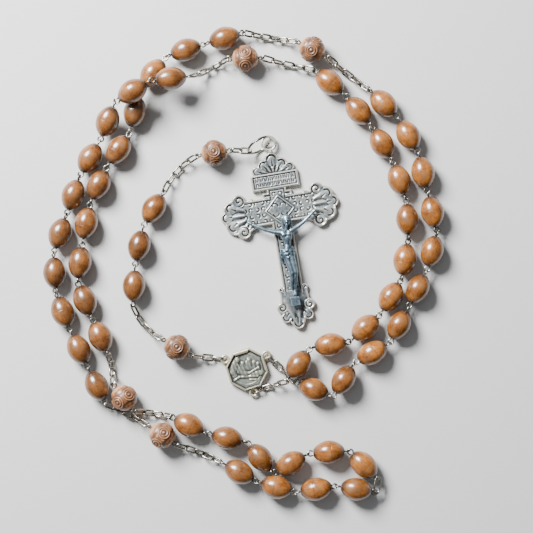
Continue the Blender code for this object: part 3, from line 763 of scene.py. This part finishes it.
# signed distances for the cast pieces, in millimetres, negative inside
def discGap(x, y, cx, cy, radius):
    return np.hypot(x - cx, y - cy) - radius


def boxGap(x, y, cx, cy, halfX, halfY, corner=0.0):
    dx, dy = np.abs(x - cx) - halfX + corner, np.abs(y - cy) - halfY + corner
    return np.hypot(np.maximum(dx, 0), np.maximum(dy, 0)) + np.minimum(np.maximum(dx, dy), 0) - corner


def barGap(x, y, start, end, radius):
    (ax, ay), (bx, by) = start, end
    lengthSquared = (bx - ax) ** 2 + (by - ay) ** 2
    t = np.clip(((x - ax) * (bx - ax) + (y - ay) * (by - ay)) / lengthSquared, 0, 1)
    return np.hypot(x - ax - t * (bx - ax), y - ay - t * (by - ay)) - radius


def melt(first, second, soft):
    h = np.clip(0.5 + 0.5 * (second - first) / soft, 0, 1)
    return second * (1 - h) + first * h - soft * h * (1 - h)


def markWorn(mesh, rounds, reach):
    # worn is 1 on ridges and 0 in grooves, from how far each point stands off its smoothed surroundings
    count = len(mesh.vertices)
    points = np.empty(count * 3)
    mesh.vertices.foreach_get("co", points)
    points = points.reshape(-1, 3)
    normals = np.empty(count * 3)
    mesh.vertices.foreach_get("normal", normals)
    edges = np.empty(len(mesh.edges) * 2, np.int64)
    mesh.edges.foreach_get("vertices", edges)
    edges = edges.reshape(-1, 2)
    a, b = np.concatenate([edges[:, 0], edges[:, 1]]), np.concatenate([edges[:, 1], edges[:, 0]])
    links = np.maximum(np.bincount(a, minlength=count), 1)
    smooth = points.copy()
    for _ in range(rounds):
        smooth = np.stack([np.bincount(a, smooth[b, axis], count) / links for axis in range(3)], 1)
    stand = ((points - smooth) * normals.reshape(-1, 3)).sum(1)
    worn = np.clip(0.5 + stand / reach * 0.5, 0, 1)
    markPoints(mesh, "worn", worn)


def place(name, mesh, material, frameMatrix=None):
    mesh.transform(Matrix.Scale(mm, 4))
    if frameMatrix:
        mesh.transform(frameMatrix)
    mesh.shade_smooth()
    mesh.materials.append(material)
    piece = bpy.data.objects.new(name, mesh)
    bpy.context.scene.collection.objects.link(piece)
    return piece


def addRing(shape, centre, radius, wire, axis, around=40, sides=12):
    # a wire ring in a bmesh, its hole along axis
    made = bmesh.new()
    circle = [made.verts.new((radius + wire / 2 * math.cos(math.tau * i / sides), 0,
                              wire / 2 * math.sin(math.tau * i / sides))) for i in range(sides)]
    edges = [made.edges.new((circle[i], circle[(i + 1) % sides])) for i in range(sides)]
    bmesh.ops.spin(made, geom=circle + edges, cent=(0, 0, 0), axis=(0, 0, 1), angle=math.tau, steps=around,
                   use_merge=True)
    turn = Vector(axis).to_track_quat("Z", "Y").to_matrix().to_4x4()
    bmesh.ops.transform(made, matrix=Matrix.Translation(centre) @ turn, verts=made.verts)
    bmesh.ops.recalc_face_normals(made, faces=made.faces)
    mesh = bpy.data.meshes.new("ring")
    made.to_mesh(mesh)
    made.free()
    shape.from_mesh(mesh)
    bpy.data.meshes.remove(mesh)


# medal

medalRelief = {
    "figures": [  # start, end, half width, height
        ((-2.9, 2.7), (-2.95, 2.5), 0.72, 0.38), ((-3.55, 1.5), (-4.15, -0.9), 1.0, 0.36),
        ((-4.1, -0.9), (-3.6, -2.0), 0.85, 0.28), ((-2.9, 1.3), (-2.2, 0.3), 0.45, 0.30),
        ((-1.3, 1.85), (-1.3, 1.75), 0.62, 0.42), ((-1.2, 1.0), (-0.9, 0.2), 0.90, 0.36),
        ((0.55, 2.8), (0.57, 2.7), 0.62, 0.40), ((0.5, 1.9), (0.7, 0.6), 1.0, 0.36),
        ((2.1, 2.15), (2.1, 2.05), 0.60, 0.42), ((2.1, 1.3), (2.0, 0.6), 0.85, 0.34),
        ((3.3, 1.8), (3.3, 1.7), 0.55, 0.40), ((3.2, 1.0), (3.3, 0.3), 0.75, 0.32),
        ((-3.0, 0.1), (-1.3, 0.1), 0.65, 0.32), ((-2.2, -0.6), (-0.3, -1.3), 0.90, 0.36),
        ((0.75, -1.1), (3.5, 0.6), 0.40, 0.42), ((1.6, -1.6), (4.0, -0.95), 0.90, 0.30),
        ((-3.6, -3.2), (-2.2, -2.3), 0.36, 0.32), ((-2.2, -2.3), (3.2, -2.0), 0.40, 0.32),
        ((1.0, -3.05), (2.9, -3.0), 0.24, 0.20)],
    "rings": 46,
    "perEdge": 22,
    "strips": (1.15, 0.55, 0.85, 0.55, 0.45, 0.55, 0.65, 0.6),
}


def medalMesh():
    look, reach = medalRelief, medal["across"] / mm / 2
    apothem, thick = reach * math.cos(math.pi / 8), medal["thickness"] / mm
    corners = [reach * Vector((math.cos(math.radians(medal["firstCorner"] - 45 * i)),
                               math.sin(math.radians(medal["firstCorner"] - 45 * i)))) for i in range(8)]
    outline, rims = [], []
    for i in range(8):
        for k in range(look["perEdge"]):
            outline.append(corners[i].lerp(corners[(i + 1) % 8], k / look["perEdge"]))
            rims.append(look["strips"][(i + 1) % 8])
    outline, rims = np.array([tuple(p) for p in outline]), np.array(rims)
    field = thick - medal["faceDepth"] / mm
    # how far in each row of points is, and its height
    rows = [(0.0 * rims, 0.0), (0.0 * rims, thick * 0.55), (0.04 + 0 * rims, thick - 0.34)]
    rows += [(0.20 + 0 * rims, thick - 0.08), (0.30 + 0 * rims, thick), (rims - 0.12, thick - 0.03)]
    rows += [(rims, thick - 0.16), (rims + 0.10, field)]
    points, inward = [], np.linspace(1, 0, look["rings"])[1:-1]
    for depth, height in rows:
        share = 1 - depth / apothem
        points.append(np.column_stack([outline * share[:, None], np.full(len(rims), height)]))
    start = points[-1][:, :2]
    for share in inward:
        flat = start * share
        high = np.zeros(len(flat))
        for first, last, width, tall in look["figures"]:
            gap = barGap(flat[:, 0], flat[:, 1], first, (last[0], last[1] + 1e-4), 0)
            dome = np.sqrt(np.clip(1 - (gap / width) ** 2, 0, 1)) * tall
            high = high + dome ** 4
        high = high ** 0.25
        folds = 0.06 * np.sin(flat[:, 0] * 5.5 + 2.2 * flat[:, 1]) * smoothStep(high, 0.1, 0.3)
        edge = 0.10 * ridge(np.hypot(*flat.T), 4.55, 0.10)
        points.append(np.column_stack([flat, field + high + folds + edge]))
    around = len(rims)
    verts = np.vstack(points + [[[0, 0, field + 0.3]], [[0, 0, 0]]])
    ring, faces = np.arange(around), []
    following = (ring + 1) % around
    for row in range(len(points) - 1):
        a, b = row * around, (row + 1) * around
        faces += np.stack([a + ring, a + following, b + following, b + ring], 1).tolist()
    last, top = (len(points) - 1) * around, len(verts) - 2
    faces += [[int(last + i), int(last + j), top] for i, j in zip(ring, following)]
    faces += [[int(j), int(i), top + 1] for i, j in zip(ring, following)]
    shape = bmesh.new()
    mesh = bpy.data.meshes.new("medal")
    mesh.from_pydata(verts.tolist(), [], faces)
    shape.from_mesh(mesh)
    bmesh.ops.recalc_face_normals(shape, faces=shape.faces)
    for name in medal["lugs"]:
        addRing(shape, lugCentre(name) / mm, medal["lugRadius"] / mm, medal["lugWire"] / mm, (0, 0, 1))
    shape.to_mesh(mesh)
    shape.free()
    return mesh


mesh = medalMesh()
markWorn(mesh, 14, 0.16)
piece = place("medal", mesh, medalMetal)
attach(piece, root)
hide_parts("centre_medal")
print("medal ready")

# jump ring, an open wire ring


def jumpRingMesh():
    wire, opening = jumpRing["wire"], 5
    curve = bpy.data.curves.new("jumpRing", "CURVE")
    curve.dimensions, curve.bevel_depth, curve.bevel_resolution, curve.use_fill_caps = "3D", wire / 2, 4, True
    spline = curve.splines.new("POLY")
    turns = np.linspace(100 + opening / 2, 460 - opening / 2, 90)
    spline.points.add(len(turns) - 1)
    for point, turn in zip(spline.points, turns):
        point.co = (*ringPoint(turn, aside=0.1 * mm * (turn - 280) / 180), 1)
    drawn = bpy.data.objects.new("drawn", curve)
    bpy.context.scene.collection.objects.link(drawn)
    made = bpy.data.meshes.new_from_object(drawn.evaluated_get(bpy.context.evaluated_depsgraph_get()))
    bpy.data.objects.remove(drawn)
    shape = bmesh.new()
    shape.from_mesh(made)
    bmesh.ops.remove_doubles(shape, verts=shape.verts, dist=1e-7)
    return asPiece("jumpRing", shape, ringMetal)


piece = jumpRingMesh()
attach(piece, bodyOf("crucifix_ring"))
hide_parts("crucifix_ring")

# cross

crossLook = {
    "height": 53.5, "span": 35.8, "thickness": 2.0, "crossing": 17.3,
    "step": 0.125, "field": 1.55, "soft": 0.4, "cell": 1.9,
    "title": (7.15, 6.1, 11.0),
    "armLobes": [  # across, down, radius, spiral direction or 0 for a leaf
        (11.75, 12.95, 2.05, 1), (14.45, 14.75, 1.85, 0), (16.05, 17.35, 1.80, 0), (14.55, 20.35, 1.85, 0),
        (11.55, 22.35, 2.05, -1)],
    "footLobes": [(3.55, 41.2, 0.95, 1), (4.15, 46.6, 1.65, -1), (3.3, 49.6, 1.6, 0), (0.0, 51.7, 1.8, 0)],
    "topLobes": [(0.0, 2.2, 2.2, 0), (2.75, 3.75, 1.75, 0), (4.95, 5.1, 1.5, 0)],
}


def crossGap(x, d):
    look, ax = crossLook, np.abs(x)
    width, top, bottom = look["title"]
    palmette = np.minimum(boxGap(ax, d, 0, 5.3, 5.9, 1.2), boxGap(ax, d, 0, 3.6, 3.3, 1.6, 1.2))
    for cx, cy, radius, _ in look["topLobes"]:
        palmette = melt(palmette, discGap(ax, d, cx, cy, radius), 0.4)
    shape = np.minimum(palmette, boxGap(ax, d, 0, (top + bottom) / 2, width, (bottom - top) / 2, 0.12))
    shape = np.minimum(shape, boxGap(ax, d, 0, 28.5, 3.0, 18.0))
    shape = np.minimum(shape, boxGap(ax, d, 0, -0.3, cross["loopWire"] / mm * 0.8, 0.6))
    shape = np.minimum(shape, boxGap(ax, d, 0, 12.7, 4.5, 0.9, 0.05))
    shape = np.minimum(shape, boxGap(ax, d, 0, look["crossing"], 11.0, 4.0, 0.1))
    flare = boxGap(ax, d, 12.8, 17.6, 3.9, 5.2, 2.8)
    for cx, cy, radius, _ in look["armLobes"]:
        flare = melt(flare, discGap(ax, d, cx, cy, radius), look["soft"])
    flare = melt(flare, barGap(ax, d, (10.6, 14.1), (8.0, 13.35), 0.6), 0.5)
    flare = melt(flare, barGap(ax, d, (10.3, 22.2), (8.0, 21.2), 0.6), 0.5)
    shape = np.minimum(shape, flare)
    foot = np.minimum(boxGap(ax, d, 0, 46.6, 4.2, 4.0, 1.6), boxGap(ax, d, 0, 49.0, 2.4, 3.2, 1.4))
    foot = melt(foot, barGap(ax, d, (3.2, 41.9), (3.3, 45.0), 0.95), 0.4)
    for cx, cy, radius, _ in look["footLobes"]:
        foot = melt(foot, discGap(ax, d, cx, cy, radius), look["soft"])
    return np.minimum(shape, foot)


def scrollwork(x, d, lobes, centre):
    # spiral or leaf grooves inside the lobes, and the share of a lobe at each point
    ax, groove, inside = np.abs(x), np.zeros_like(x), np.zeros_like(x)
    for cx, cy, radius, spin in lobes:
        for side in ((1, -1) if cx else (1,)):
            dx, dy = (x * side - cx), d - cy
            r = np.hypot(dx, dy) / radius
            near = smoothStep(-r, -1.02, -0.9)
            angle = np.arctan2(dy, dx)
            if spin:
                turn = (r * 1.55 + spin * angle / (2 * np.pi)) % 1.0
                cut = ridge(turn, 0.5, 0.13) * near * smoothStep(-r, -0.84, -0.70)
            else:
                out = np.arctan2(cy - centre[1], cx - centre[0] + 1e-6)
                facing = np.cos(angle - out)
                cut = ridge(r, 0.60, 0.09) * smoothStep(facing, -0.1, 0.5)
                cut = np.maximum(cut, ridge(np.sin(angle - out), 0, 0.14) * (facing < 0) * near * 0.6)
            groove = np.maximum(groove, cut)
            inside = np.maximum(inside, near)
    return groove, inside


def plumes(x, d):
    # feathers that fan out over the arms' ends, the foot and the palmette
    ax, below = np.abs(x), np.abs(d - crossLook["crossing"])
    fan = np.sin(np.arctan2(below, ax - 7.6) * 14 + 0.4 * np.hypot(ax - 7.6, below))
    fan = fan * smoothStep(ax, 9.9, 10.9)
    fan = fan + np.sin(np.arctan2(x, crossLook["height"] - d) * 13) * smoothStep(d, 43.5, 45)
    return fan + np.sin(np.arctan2(ax, 7.3 - d) * 13 + 1.2) * smoothStep(-d, -6.1, -5.6)


def panelCarving(ax, below):
    # small arcs that turn back and forth, with a dot in each
    cell = crossLook["cell"]
    u, v = (ax % cell) - cell / 2, (below % cell) - cell / 2
    flip = np.where((np.floor(ax / cell) + np.floor(below / cell)) % 2 == 0, 0.9, 3.6)
    arcs = ridge(np.hypot(u, v), 0.56, 0.14) * smoothStep(np.cos(np.arctan2(v, u) - flip), -0.35, 0.1)
    return -0.05 - 0.30 * arcs + 0.10 * ridge(np.hypot(u, v), 0, 0.16)


def jewel(ax, below, diamond):
    arches = ridge(np.hypot(ax - 1.2, below - 1.1), 0.85, 0.12) * (diamond < 4.0) * (below > 1.0)
    return 0.22 * ridge(diamond, 4.3, 0.30) - 0.30 * arches - 0.20 * ridge(diamond, 3.75, 0.12)


def titleStrokes(x, d):
    # plain engraved strokes in two rows
    strokes, marker = np.zeros_like(x), random.Random(5)
    for row in (7.78, 9.32):
        at = -5.6
        while at < 5.7:
            tilt, tall = marker.choice((-0.16, 0, 0, 0.16)), marker.uniform(0.34, 0.50)
            gap = barGap(x, d, (at - tilt, row - tall), (at + tilt, row + tall), 0)
            strokes = np.maximum(strokes, ridge(gap, 0, 0.11))
            at += marker.uniform(0.44, 0.70)
    return strokes


def crossHeight(x, d, gap):
    look, ax, dist = crossLook, np.abs(x), -gap
    width, top, bottom = look["title"]
    field = look["field"]
    rim = 0.20 * ridge(dist, 0.34, 0.22)
    arm, armIn = scrollwork(x, d, look["armLobes"], (10.5, look["crossing"]))
    foot, footIn = scrollwork(x, d, look["footLobes"], (0.0, 45.5))
    crown, crownIn = scrollwork(x, d, look["topLobes"], (0.0, 7.0))
    groove = np.maximum(np.maximum(arm, foot), crown)
    inside = np.maximum(np.maximum(armIn, footIn), crownIn)
    ends = np.maximum(smoothStep(d, 41.0, 42.0), smoothStep(-d, -6.2, -6.0))
    ends = np.maximum(smoothStep(ax, 9.8, 10.8), ends)
    high = field + rim + 0.08 * inside - 0.46 * groove
    high += 0.20 * np.clip(plumes(x, d), -1, 1) * (1 - 0.65 * inside)
    below = np.abs(d - look["crossing"])
    panel = (1 - ends) * smoothStep(dist, 0.85, 1.0)
    high += panel * panelCarving(ax, below) - 0.36 * (1 - ends) * ridge(dist, 0.88, 0.10)
    diamond = ax + below
    middle = smoothStep(-diamond, -4.7, -4.3)
    high = high * (1 - middle) + middle * (field + jewel(ax, below, diamond))
    plate = boxGap(x, d, 0, (top + bottom) / 2, width, (bottom - top) / 2)
    title = field + 0.04 + 0.22 * smoothStep(-plate, 0.05, 0.25) * smoothStep(plate, -0.75, -0.5)
    title = title - 0.24 * titleStrokes(x, d) * (plate < -0.9) - 0.26 * ridge(plate, -0.86, 0.09)
    high = np.where(plate < 0, title, high)
    high -= 0.22 * ridge(plate, 0.1, 0.12) * (d < top)
    high -= 0.40 * np.exp(-np.clip(dist, 0, None) / 0.10)
    return np.clip(high, 0.5, look["thickness"])


def castCross():
    look = crossLook
    xs = np.arange(-look["span"] / 2 - 0.6, look["span"] / 2 + 0.6, look["step"])
    ds = np.arange(-0.6, look["height"] + 0.6, look["step"])
    x, d = np.meshgrid(xs, ds, indexing="ij")
    gap = crossGap(x, d)
    middle = (gap[:-1, :-1] + gap[1:, :-1] + gap[:-1, 1:] + gap[1:, 1:]) / 4 < 0
    slopeX, slopeD = np.gradient(gap, look["step"])
    size = np.maximum(np.hypot(slopeX, slopeD), 0.3)
    used = np.zeros(gap.shape, int)
    for dx, dy in ((0, 0), (1, 0), (0, 1), (1, 1)):
        used[dx:dx + middle.shape[0], dy:dy + middle.shape[1]] += middle
    border = (used > 0) & (used < 4)
    shift = np.where(border, np.clip(gap, -look["step"], look["step"]) / size, 0)
    x, d = x - shift * slopeX / size, d - shift * slopeD / size
    high = crossHeight(x, d, np.where(border, 0, gap))
    index = np.full(gap.shape, -1)
    index[used > 0] = np.arange((used > 0).sum())
    total = (used > 0).sum()
    drop = (cross["loopRadius"] + cross["loopNeck"]) / mm
    lift = -cross["loopHeight"] / mm
    flat = np.column_stack([x[used > 0], -d[used > 0] - drop])
    top = np.column_stack([flat, lift + high[used > 0]])
    bottom = np.column_stack([flat, np.full(total, lift)])
    i, j = np.nonzero(middle)
    quads = np.stack([index[i, j], index[i, j + 1], index[i + 1, j + 1], index[i + 1, j]], 1)
    sides = np.concatenate([quads[:, [0, 1]], quads[:, [1, 2]], quads[:, [2, 3]], quads[:, [3, 0]]])
    key = np.sort(sides, axis=1)
    _, first, count = np.unique(key[:, 0] * (total + 1) + key[:, 1], return_index=True, return_counts=True)
    edge = sides[first[count == 1]]
    walls = np.stack([edge[:, 1], edge[:, 0], edge[:, 0] + total, edge[:, 1] + total], 1)
    mesh = bpy.data.meshes.new("cross")
    faces = quads.tolist() + (quads[:, ::-1] + total).tolist() + walls.tolist()
    mesh.from_pydata(np.vstack([top, bottom]).tolist(), [], faces)
    shape = bmesh.new()
    shape.from_mesh(mesh)
    bmesh.ops.recalc_face_normals(shape, faces=shape.faces)
    addRing(shape, (0, 0, 0), cross["loopRadius"] / mm, cross["loopWire"] / mm, (0, 0, 1), 64)
    shape.to_mesh(mesh)
    shape.free()
    return mesh


mesh = castCross()
markWorn(mesh, 12, 0.14)
piece = place("cross.casting", mesh, crossMetal, crossFrame)
crossBody = bodyOf("cross")
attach(piece, crossBody)
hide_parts("cross")
print("cross ready")

# figure on the cross

figureLook = {
    "voxel": 0.10,
    "rise": 0.35,
    # each limb: points of (across, down, up, radius)
    "limbs": {
        "neck": [(1.15, 22.1, 1.5, 0.62), (0.85, 23.6, 1.25, 0.68)],
        "chestLeft": [(-0.35, 24.6, 1.25, 1.05), (0.1, 26.0, 1.2, 1.05)],
        "chestRight": [(1.55, 24.7, 1.3, 1.05), (1.15, 26.0, 1.25, 1.05)],
        "belly": [(0.6, 26.2, 1.2, 1.15), (0.42, 28.0, 1.05, 0.98), (0.2, 29.6, 1.2, 1.25)],
        "hip": [(-0.55, 30.2, 1.2, 1.25), (0.85, 30.2, 1.25, 1.25)],
        "leftThigh": [(-0.6, 30.9, 1.35, 1.15), (0.05, 34.0, 1.75, 0.98), (0.42, 36.6, 2.0, 0.80)],
        "rightThigh": [(0.95, 30.9, 1.4, 1.12), (1.25, 34.0, 1.75, 0.95), (1.42, 36.5, 2.0, 0.80)],
        "leftShin": [(0.42, 36.7, 1.95, 0.76), (0.02, 38.9, 1.45, 0.70), (-0.2, 41.6, 0.95, 0.42)],
        "rightShin": [(1.42, 36.6, 1.9, 0.74), (1.0, 38.9, 1.45, 0.68), (0.5, 41.6, 0.95, 0.42)],
        "leftFoot": [(-0.2, 41.7, 0.9, 0.44), (-0.12, 43.2, 1.15, 0.42)],
        "rightFoot": [(0.5, 41.7, 0.95, 0.44), (0.35, 43.1, 1.2, 0.42)],
        "leftArm": [(-0.9, 24.3, 1.2, 0.90), (-3.0, 23.6, 1.0, 0.72), (-5.3, 22.7, 0.9, 0.56),
                    (-7.2, 21.5, 0.8, 0.54), (-8.6, 20.6, 0.7, 0.42)],
        "rightArm": [(2.2, 24.2, 1.2, 0.90), (4.1, 23.4, 1.0, 0.72), (6.2, 22.3, 0.9, 0.56),
                     (8.0, 21.0, 0.8, 0.54), (9.3, 20.0, 0.7, 0.42)],
        "leftPalm": [(-8.6, 20.5, 0.6, 0.40), (-9.3, 20.1, 0.6, 0.52), (-9.9, 19.7, 0.65, 0.34)],
        "rightPalm": [(9.3, 19.9, 0.6, 0.40), (9.9, 19.5, 0.6, 0.52), (10.4, 19.1, 0.65, 0.34)],
        "clothTop": [(-1.55, 29.3, 1.25, 0.42), (0.1, 29.75, 2.3, 0.40), (1.75, 29.2, 1.3, 0.42)],
        "clothMiddle": [(-1.8, 30.4, 1.2, 0.50), (0.0, 30.9, 2.45, 0.42), (1.85, 30.0, 1.3, 0.48)],
        "clothLow": [(-1.6, 31.6, 1.3, 0.55), (0.1, 31.9, 2.35, 0.42), (1.8, 31.0, 1.4, 0.55)],
        "clothEnd": [(-1.75, 30.6, 1.1, 0.60), (-1.95, 32.0, 1.0, 0.55), (-1.75, 33.4, 0.9, 0.40)],
        "hairLeft": [(0.55, 20.1, 2.0, 0.62), (0.15, 21.4, 1.55, 0.52), (0.05, 22.9, 1.4, 0.40)],
        "hairRight": [(2.1, 20.3, 1.9, 0.60), (2.35, 21.7, 1.5, 0.52), (2.1, 23.1, 1.4, 0.40)],
        "beard": [(1.18, 22.2, 2.75, 0.40), (1.10, 22.75, 2.5, 0.34)],
        "nose": [(1.36, 20.95, 3.2, 0.10), (1.33, 21.45, 3.38, 0.15)],
        "brow": [(0.82, 20.72, 3.05, 0.14), (1.38, 20.78, 3.22, 0.13), (1.95, 20.80, 3.05, 0.14)],
    },
    # each ball: centre and half sizes
    "balls": {
        "head": ((1.35, 21.15, 2.0), (1.08, 1.48, 1.25)),
        "hair": ((1.42, 20.35, 1.75), (1.35, 1.25, 1.25)),
        "leftPectoral": ((-0.1, 24.95, 2.0), (0.72, 0.55, 0.45)),
        "rightPectoral": ((1.35, 25.0, 2.05), (0.72, 0.55, 0.45)),
        "leftKnee": ((0.42, 36.5, 2.35), (0.55, 0.6, 0.45)),
        "rightKnee": ((1.42, 36.4, 2.35), (0.55, 0.6, 0.45)),
    },
    "block": ((0.0, 45.1, 0.75), (1.35, 1.3, 0.75)),
}


def addLimb(shape, points, sides=14):
    # a swelling tube with domed ends, through points of (position, radius)
    path = []
    first, last = points[0], points[-1]
    lead, tail = (first[0] - points[1][0]).normalized(), (last[0] - points[-2][0]).normalized()
    for t in (0.98, 0.85, 0.6, 0.3):
        path.append((first[0] + lead * first[1] * t, first[1] * math.sqrt(1 - t * t)))
    for (a, ra), (b, rb) in zip(points, points[1:]):
        for k in range(4):
            path.append((a.lerp(b, k / 4), ra + (rb - ra) * k / 4))
    path.append(last)
    for t in (0.3, 0.6, 0.85, 0.98):
        path.append((last[0] + tail * last[1] * t, last[1] * math.sqrt(1 - t * t)))
    rings = []
    for i, (middle, radius) in enumerate(path):
        along = (path[min(i + 1, len(path) - 1)][0] - path[max(i - 1, 0)][0]).normalized()
        side = along.cross(Vector((0, 0, 1)))
        side = side.normalized() if side.length > 1e-4 else Vector((1, 0, 0))
        up = side.cross(along)
        ring = [shape.verts.new(middle + radius * (side * math.cos(a) + up * math.sin(a)))
                for a in (math.tau * k / sides for k in range(sides))]
        rings.append(ring)
    for a, b in zip(rings, rings[1:]):
        for k in range(sides):
            shape.faces.new((a[k], a[(k + 1) % sides], b[(k + 1) % sides], b[k]))
    shape.faces.new(rings[0][::-1])
    shape.faces.new(rings[-1])


def figureMesh():
    look, shape = figureLook, bmesh.new()
    drop = (cross["loopRadius"] + cross["loopNeck"]) / mm
    back = crossLook["thickness"] - cross["loopHeight"] / mm + look["rise"]

    def local(across, down, up):
        return Vector((across, -down - drop, back + up))

    for points in look["limbs"].values():
        addLimb(shape, [(local(*point[:3]), point[3]) for point in points])
    for centre, half in look["balls"].values():
        made = bmesh.ops.create_icosphere(shape, subdivisions=4, radius=1.0)["verts"]
        bmesh.ops.scale(shape, vec=half, verts=made)
        bmesh.ops.translate(shape, vec=local(*centre), verts=made)
    centre, half = look["block"]
    made = bmesh.ops.create_cube(shape, size=2.0)["verts"]
    bmesh.ops.scale(shape, vec=half, verts=made)
    bmesh.ops.translate(shape, vec=local(*centre), verts=made)
    bmesh.ops.recalc_face_normals(shape, faces=shape.faces)
    mesh = bpy.data.meshes.new("figureRough")
    shape.to_mesh(mesh)
    shape.free()
    rough = bpy.data.objects.new("figureRough", mesh)
    bpy.context.scene.collection.objects.link(rough)
    remesh = rough.modifiers.new("remesh", "REMESH")
    remesh.mode, remesh.voxel_size = "VOXEL", look["voxel"]
    smooth = rough.modifiers.new("smooth", "SMOOTH")
    smooth.factor, smooth.iterations = 0.5, 3
    made = bpy.data.meshes.new_from_object(rough.evaluated_get(bpy.context.evaluated_depsgraph_get()))
    bpy.data.objects.remove(rough)
    points = np.empty(len(made.vertices) * 3)
    made.vertices.foreach_get("co", points)
    points = points.reshape(-1, 3)
    points[:, 2] = np.maximum(points[:, 2], back - 0.3)
    made.vertices.foreach_set("co", points.ravel())
    made.update()
    return made


mesh = figureMesh()
markWorn(mesh, 16, 0.22)
piece = place("figure", mesh, corpusMetal, crossFrame)
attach(piece, bodyOf("corpus"))
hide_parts("corpus")
print("figure ready")

# floor, light and camera

studio = {
    "floor": (0.56, 0.55, 0.535),
    "air": (0.90, 0.95, 1.0),
    "airStrength": (0.02, 0.44),
    "airFrom": (-0.52, 0.62, 0.59),
    "keyPlace": (-0.26, 0.34, 0.36),
    "keySize": 0.24,
    "keyPower": 14.2,
    "keyColour": (0.96, 0.98, 1.0),
    "sensor": 36,
    "floorDrop": 0.03 * mm,
    "aim": (0.00585, 0.03075, 0.0),
    "cameraHeight": 0.42,
    "fieldWidth": 0.160,
}


def addStudio():
    plane = bmesh.new()
    bmesh.ops.create_grid(plane, x_segments=2, y_segments=2, size=1.6)
    floor = asPiece("floor", plane, None)
    floor.location.z = -studio["floorDrop"]
    material, tree, shader = newMaterial("paleFloor")
    shader.inputs["Base Color"].default_value = (*studio["floor"], 1)
    shader.inputs["Roughness"].default_value = 0.85
    floor.data.materials.clear()
    floor.data.materials.append(material)
    world = bpy.data.worlds.new("studio")
    world.use_nodes = True
    sky = world.node_tree
    aloft = put(sky, "ShaderNodeTexCoord").outputs["Generated"]
    facing = vecCalc(sky, "DOT_PRODUCT", aloft, Vector(studio["airFrom"]))
    sky.nodes["Background"].inputs[0].default_value = (*studio["air"], 1)
    sky.links.new(span(sky, facing, -0.5, 0.9, studio["airStrength"]), sky.nodes["Background"].inputs[1])
    bpy.context.scene.world = world
    lamp = bpy.data.lights.new("key", "AREA")
    lamp.shape, lamp.size, lamp.energy = "DISK", studio["keySize"], studio["keyPower"]
    lamp.color = studio["keyColour"]
    key = bpy.data.objects.new("key", lamp)
    bpy.context.scene.collection.objects.link(key)
    key.location = studio["keyPlace"]
    aim = Vector(studio["aim"])
    key.rotation_euler = (aim - key.location).to_track_quat("-Z", "Y").to_euler()
    lens = bpy.data.cameras.new("camera")
    lens.sensor_width = studio["sensor"]
    lens.lens = studio["sensor"] * studio["cameraHeight"] / studio["fieldWidth"]
    lens.clip_start = 0.01
    camera = bpy.data.objects.new("camera", lens)
    bpy.context.scene.collection.objects.link(camera)
    camera.location = aim + Vector((0, 0, studio["cameraHeight"]))
    bpy.context.scene.camera = camera


addStudio()
print("studio ready")
